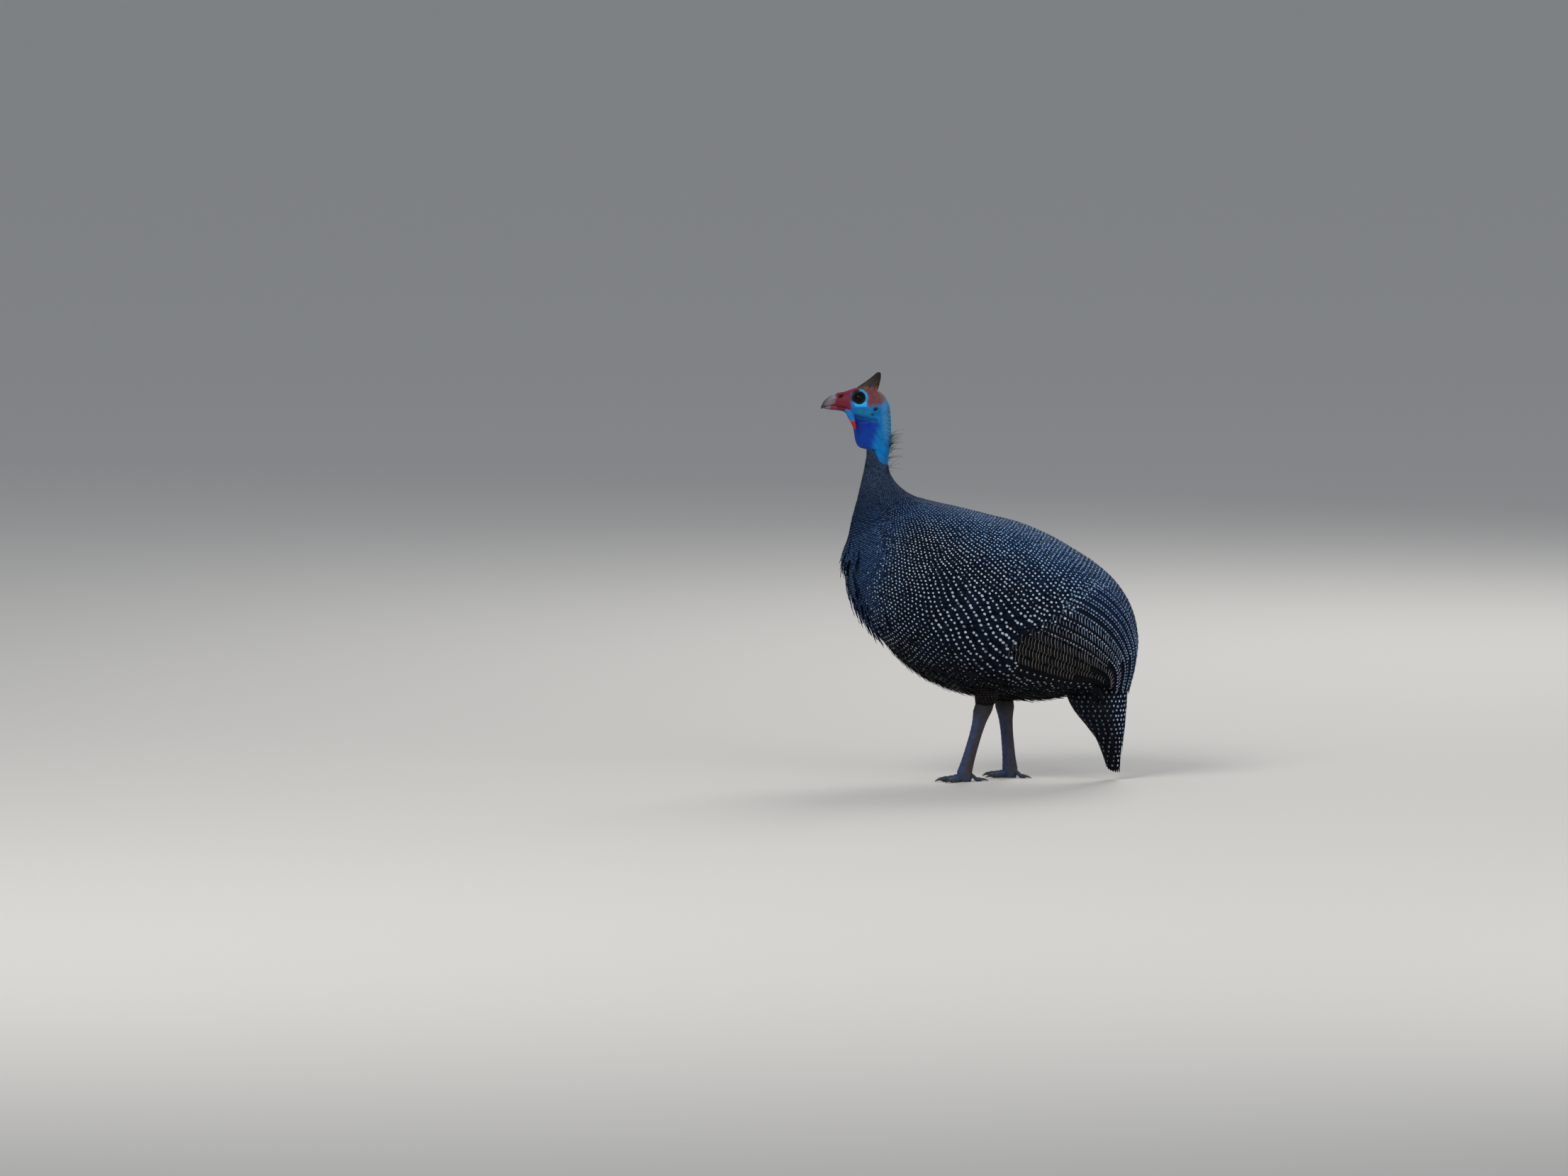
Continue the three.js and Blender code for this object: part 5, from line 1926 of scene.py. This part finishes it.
@dataclass
class Leg:
    """A leg: feathered thigh, scaled shank, toes and claws."""

    side: Side
    hock_x: float
    ankle_x: float
    thigh_x: float
    toe_turn: float
    draw: np.random.Generator
    out_y: float = 25.0
    hock_z: float = 93.0
    ankle_z: float = 13.0
    thigh_z: float = 142.0
    claw_length: float = 8.5

    def build(self) -> None:
        """Builds the leg."""
        self.thigh()
        self.shank()
        self.foot()
        for toe in TOES:
            self.claw(toe)

    def thigh(self) -> None:
        """Adds the thigh with its short dark feathers."""
        top = np.array([self.thigh_x, self.side.value * (self.out_y + 12), self.thigh_z])
        hock = np.array([self.hock_x, self.side.value * self.out_y, self.hock_z])
        rings = np.array([(0, 27, 22), (0.35, 22, 18), (0.62, 16.5, 14), (0.82, 13.5, 11), (1, 11.6, 8.8)])
        form = Limb(top, hock, rings)
        name = f"thigh_{self.side.label}"
        p, q = form.grid(1, 24, 36)
        points, faces = loft(form.raised(p, q, np.full_like(p, -1.0)))
        piece = add_piece(f"skin_{name}", points, faces, hue("#120f10"), FEATHER, (name,))
        places = np.stack([p, (q + 180) / 360], -1).reshape(-1, 2)
        add_bake_map(piece.data, np.concatenate([places, [[0.0, 0.5], [1.0, 0.5]]]))
        roots = rows_round(form, (0.2, 0.85), lambda p: 2.6, lambda p, q: 3.6 + 0 * q)
        size = self.draw.uniform(0.85, 1.25, len(roots))
        tint = varied("#151110", len(roots), 0.7, 1.4, self.draw)
        grown = THIGH_FEATHER.grow(form, roots, 6.6 * size, 2.1 * size, tint, self.draw)
        grown.add(f"feathers_{name}")
        dots = Marks([grown], f"marks_{name}")
        for place, turn in rows_round(form, (0.25, 0.93), lambda p: 3.4, lambda p, q: 4.2 + 0 * q):
            pale = hue("#5b5f64") * self.draw.uniform(0.4, 1.0)
            dots.spot(form, float(place), float(turn), self.draw.uniform(0.35, 0.55), pale)
        dots.add()

    def shank(self) -> None:
        """Adds the scaled shank."""
        top = np.array([self.hock_x, self.side.value * self.out_y, self.hock_z + 3])
        ankle = np.array([self.ankle_x, self.side.value * self.out_y, self.ankle_z - 1])
        rings = np.array(
            [
                (0, 11.2, 8.1),
                (0.11, 11.5, 8.2),
                (0.21, 9.8, 7.2),
                (0.3, 8.5, 6.2),
                (0.46, 7.7, 5.4),
                (0.66, 7.7, 5.4),
                (0.84, 8.1, 5.9),
                (1, 9.2, 6.8),
            ]
        )
        loops = []
        angle = np.linspace(0, 2 * math.pi, 56, endpoint=False)
        for t in np.linspace(0, 1, 110):
            place = np.interp(t, rings[:, 0], np.arange(len(rings)))
            _, long, wide = (float(v) for v in spline(rings, place))
            middle = top + (ankle - top) * t
            front = np.clip(-np.cos(angle), 0, 1) ** 2
            scute = 0.35 * front * abs(math.sin(t * math.pi * 13)) ** 0.5
            rear = 0.2 * np.clip(np.cos(angle), 0, 1) ** 2 * abs(math.sin(t * math.pi * 24))
            grow = 1 + (scute + rear - 0.25) / long
            ring = np.stack([np.cos(angle) * long * grow, np.sin(angle) * wide * grow, 0 * angle], -1)
            loops.append(middle + ring)
        points, faces = loft(np.stack(loops))
        name = f"shank_{self.side.label}"
        add_piece(f"scutes_{name}", points, faces, self.leg_tint(points), LEG_SCUTE, (name,))

    def leg_tint(self, points: Array) -> Array:
        """Colours the bare leg: grey-brown, with a painted bluish highlight on its front and on the toes."""
        x, _, z = points.T
        line = self.ankle_x + (self.hock_x - self.ankle_x) * (z - self.ankle_z) / (self.hock_z - self.ankle_z)
        tint = np.broadcast_to(hue("#2d2c33"), (len(x), 3))
        # Painted highlight: the front of the shank and the toes are bluer.
        tint = blended(tint, "#26375a", smooth(3, -7, x - line) * smooth(98, 64, z))
        tint = blended(tint, "#2b3448", smooth(10, 4, z))
        return blended(tint, "#171312", smooth(74, 94, z))

    def toe_way(self, toe: Toe) -> float:
        """Gives a toe's direction on the floor, in radians."""
        return math.pi + self.side.value * math.radians(-toe.angle - self.toe_turn)

    def toe_loops(self, toe: Toe, stops: Array, sides: int) -> Array:
        """Sets ovals along a toe.

        Args:
            toe: The toe.
            stops: Rows of the distance from the ankle, height and radius.
            sides: How many points round each oval.

        Returns:
            Points of shape (stops, sides, 3).
        """
        way = self.toe_way(toe)
        angle = np.linspace(0, 2 * math.pi, sides, endpoint=False)
        c, s = np.cos(angle), np.sin(angle)
        out, z, radius = (stops[:, k, None] for k in range(3))
        x = self.ankle_x + out * math.cos(way) - s * radius * math.sin(way)
        y = self.side.value * self.out_y + out * math.sin(way) + s * radius * math.cos(way)
        return np.stack([x, y, z + c * radius], -1)

    def foot(self) -> None:
        """Adds the foot: palm and toes, flat where they stand, as one scaled surface."""
        angle = np.linspace(0, 2 * math.pi, 40, endpoint=False)
        palm = np.array([(13.5, 9.2, 6.8), (9, 9.3, 7.4), (4.5, 9, 7.6), (1.6, 8.2, 7), (-0.8, 7, 6)])
        rows = spline(palm, np.linspace(0, len(palm) - 1, 16))[:, None]
        centre = np.array([self.ankle_x, self.side.value * self.out_y, 0])
        level = rows[..., 0] + 0 * angle
        oval = np.stack([np.cos(angle) * rows[..., 1], np.sin(angle) * rows[..., 2], level], -1)
        forms = [loft(oval + centre)]
        for toe in TOES:
            r, h, n = toe.radius, toe.root_height, toe.length
            stops = np.array(
                [
                    (0, h - r, r * 0.95),
                    (n * 0.36, h + (r - h) * 0.45, r * 1.02),
                    (n * 0.5, h + (r - h) * 0.65 - 0.4, r * 0.9),
                    (n * 0.62, h + (r - h) * 0.85 - 0.6, r),
                    (n * 0.73, r - 0.5, r * 0.82),
                    (n * 0.86, r - 0.8, r * 0.9),
                    (n * 0.97, r - 0.8, r * 0.66),
                    (n + 0.5, r - 0.7, r * 0.5),
                ]
            )
            rounded = spline(stops, np.linspace(0, len(stops) - 1, 44))
            rounded[:, 2] *= 1 + 0.05 * np.abs(np.sin(np.linspace(0, 15 * math.pi, 44)))
            forms.append(loft(self.toe_loops(toe, rounded, 28)))
        points, faces, _ = merged(forms, 0.55)
        points[:, 2] = np.maximum(points[:, 2], 0.0)
        name = f"foot_{self.side.label}"
        add_piece(f"scutes_{name}", points, faces, self.leg_tint(points), LEG_SCUTE, (name,))

    def claw(self, toe: Toe) -> None:
        """Adds a claw, bent down to the floor."""
        r, start, n = toe.radius, toe.length - 0.6, self.claw_length
        stops = np.array(
            [
                (start, r - 0.7, r * 0.58),
                (start + n * 0.35, r - 0.5, r * 0.5),
                (start + n * 0.7, r * 0.62, r * 0.33),
                (start + n + 0.7, 0.75, r * 0.1),
            ]
        )
        points, faces = loft(self.toe_loops(toe, spline(stops, np.linspace(0, 3, 22)), 24))
        points[:, 2] = np.maximum(points[:, 2], 0.05)
        name = f"claw_{self.side.label}_{toe.name}"
        add_piece(f"horn_{name}", points, faces, hue("#1d1917"), CLAW_HORN, (name,))


def merged(forms: list[tuple[Array, list]], voxel_mm: float, passes: int = 2) -> tuple[Array, list, Array]:
    """Fuses closed forms into one smooth surface.

    Args:
        forms: Each form's points and faces.
        voxel_mm: How fine the surface is.
        passes: How often it is smoothed.

    Returns:
        The points, faces and outward directions of the fused surface.
    """
    points, faces = joined(forms)
    rough = bpy.data.meshes.new("rough")
    rough.from_pydata((points * MM).tolist(), [], faces)
    sketch = bpy.data.objects.new("rough", rough)
    bpy.context.scene.collection.objects.link(sketch)
    remesh = sketch.modifiers.new("remesh", "REMESH")
    remesh.mode = "VOXEL"
    remesh.voxel_size = voxel_mm * MM
    soft = sketch.modifiers.new("soft", "SMOOTH")
    soft.iterations = passes
    graph = bpy.context.evaluated_depsgraph_get()
    mesh = bpy.data.meshes.new_from_object(sketch.evaluated_get(graph))
    bpy.data.objects.remove(sketch)
    places, normals = np.empty(len(mesh.vertices) * 3), np.empty(len(mesh.vertices) * 3)
    mesh.vertices.foreach_get("co", places)
    mesh.vertex_normals.foreach_get("vector", normals)
    faces = [list(face.vertices) for face in mesh.polygons]
    return places.reshape(-1, 3) / MM, faces, normals.reshape(-1, 3)


@dataclass
class Studio:
    """The plain studio: floor, soft light and the camera at the photo's viewing angle."""

    picture_width: int = 2212
    picture_height: int = 1659
    mm_per_pixel: float = 0.8617
    floor_pixel_x: float = 1382.0
    floor_pixel_y: float = 1100.0
    elevation: float = 5.0
    distance_m: float = 15.0
    sensor_mm: float = 36.0
    floor_reach_m: float = 40.0
    floor_colour: str = "#cfcac2"
    sky_colour: str = "#cdd6e2"
    sky_strength: float = 0.52

    def build(self) -> None:
        """Builds the studio."""
        self.floor()
        self.lights()
        self.camera()

    def floor(self) -> None:
        """Adds a wide, flat, pale floor."""
        made = bpy.data.materials.new("matt studio paper")
        made.use_nodes = True
        tree = made.node_tree
        tree.nodes.clear()
        look = {"Base Color": linear(self.floor_colour), "Roughness": 0.9}
        shader = add_node(tree, "ShaderNodeBsdfPrincipled", None, look)
        add_node(tree, "ShaderNodeOutputMaterial", None, {"Surface": shader.outputs[0]})
        mesh = bpy.data.meshes.new("floor")
        reach = self.floor_reach_m
        corners = [(-reach, -reach, 0), (reach, -reach, 0), (reach, reach, 0), (-reach, reach, 0)]
        mesh.from_pydata(corners, [], [(0, 1, 2, 3)])
        mesh.materials.append(made)
        floor = bpy.data.objects.new("floor", mesh)
        bpy.context.scene.collection.objects.link(floor)

    def lights(self) -> None:
        """Adds a large key light, a fill and a soft sky."""
        world = bpy.data.worlds.new("soft sky")
        world.use_nodes = True
        sky = world.node_tree.nodes["Background"]
        sky.inputs["Color"].default_value = linear(self.sky_colour)
        sky.inputs["Strength"].default_value = self.sky_strength
        bpy.context.scene.world = world
        for name, place, size, power in (
            ("key", (-1.6, -2.2, 2.6), 1.6, 64.0),
            ("fill", (1.9, -2.0, 1.2), 2.2, 22.0),
            ("rim", (0.9, 2.2, 2.2), 1.6, 40.0),
        ):
            lamp = bpy.data.lights.new(name, "AREA")
            lamp.size = size
            lamp.energy = power
            light = bpy.data.objects.new(name, lamp)
            target = Vector((0.0, 0.0, 0.25))
            way = target - Vector(place)
            light.matrix_world = Matrix.Translation(place) @ way.to_track_quat("-Z", "Y").to_matrix().to_4x4()
            bpy.context.scene.collection.objects.link(light)

    def camera(self) -> None:
        """Adds the camera, which frames the bird as the photo does."""
        angle = math.radians(self.elevation)
        across = (self.picture_width / 2 - self.floor_pixel_x) * self.mm_per_pixel * MM
        up = (self.floor_pixel_y - self.picture_height / 2) * self.mm_per_pixel * MM / math.cos(angle)
        way = Vector((0.0, math.cos(angle), -math.sin(angle)))
        data = bpy.data.cameras.new("camera")
        data.sensor_width = self.sensor_mm
        data.lens = self.sensor_mm * self.distance_m / (self.picture_width * self.mm_per_pixel * MM)
        data.clip_end = 200.0
        camera = bpy.data.objects.new("camera", data)
        place = Vector((across, 0.0, up)) - way * self.distance_m
        camera.matrix_world = Matrix.Translation(place) @ way.to_track_quat("-Z", "Y").to_matrix().to_4x4()
        bpy.context.scene.collection.objects.link(camera)
        bpy.context.scene.camera = camera


def main() -> None:
    """Builds the bird in the frame, then the studio."""
    logging.basicConfig(level=logging.INFO, format="%(message)s")
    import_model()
    draw = np.random.default_rng(SEED)
    trunk = Trunk()
    coat = Plumage(trunk, draw).build()
    wings = {}
    for side in Side:
        wing = Wing(trunk, side, draw)
        wings[side] = (wing, wing.build())
    tail = Tail(TailForm(), draw).build()
    Markings(trunk, draw).build(coat, wings, tail)
    Head(draw).build()
    Leg(Side.LEFT, hock_x=6.3, ankle_x=-18.3, thigh_x=14, toe_turn=6, draw=draw).build()
    Leg(Side.RIGHT, hock_x=30.4, ankle_x=37.6, thigh_x=26, toe_turn=24, draw=draw).build()
    Studio().build()
    bpy.context.scene.view_settings.view_transform = "Standard"


if __name__ == "__main__":
    main()
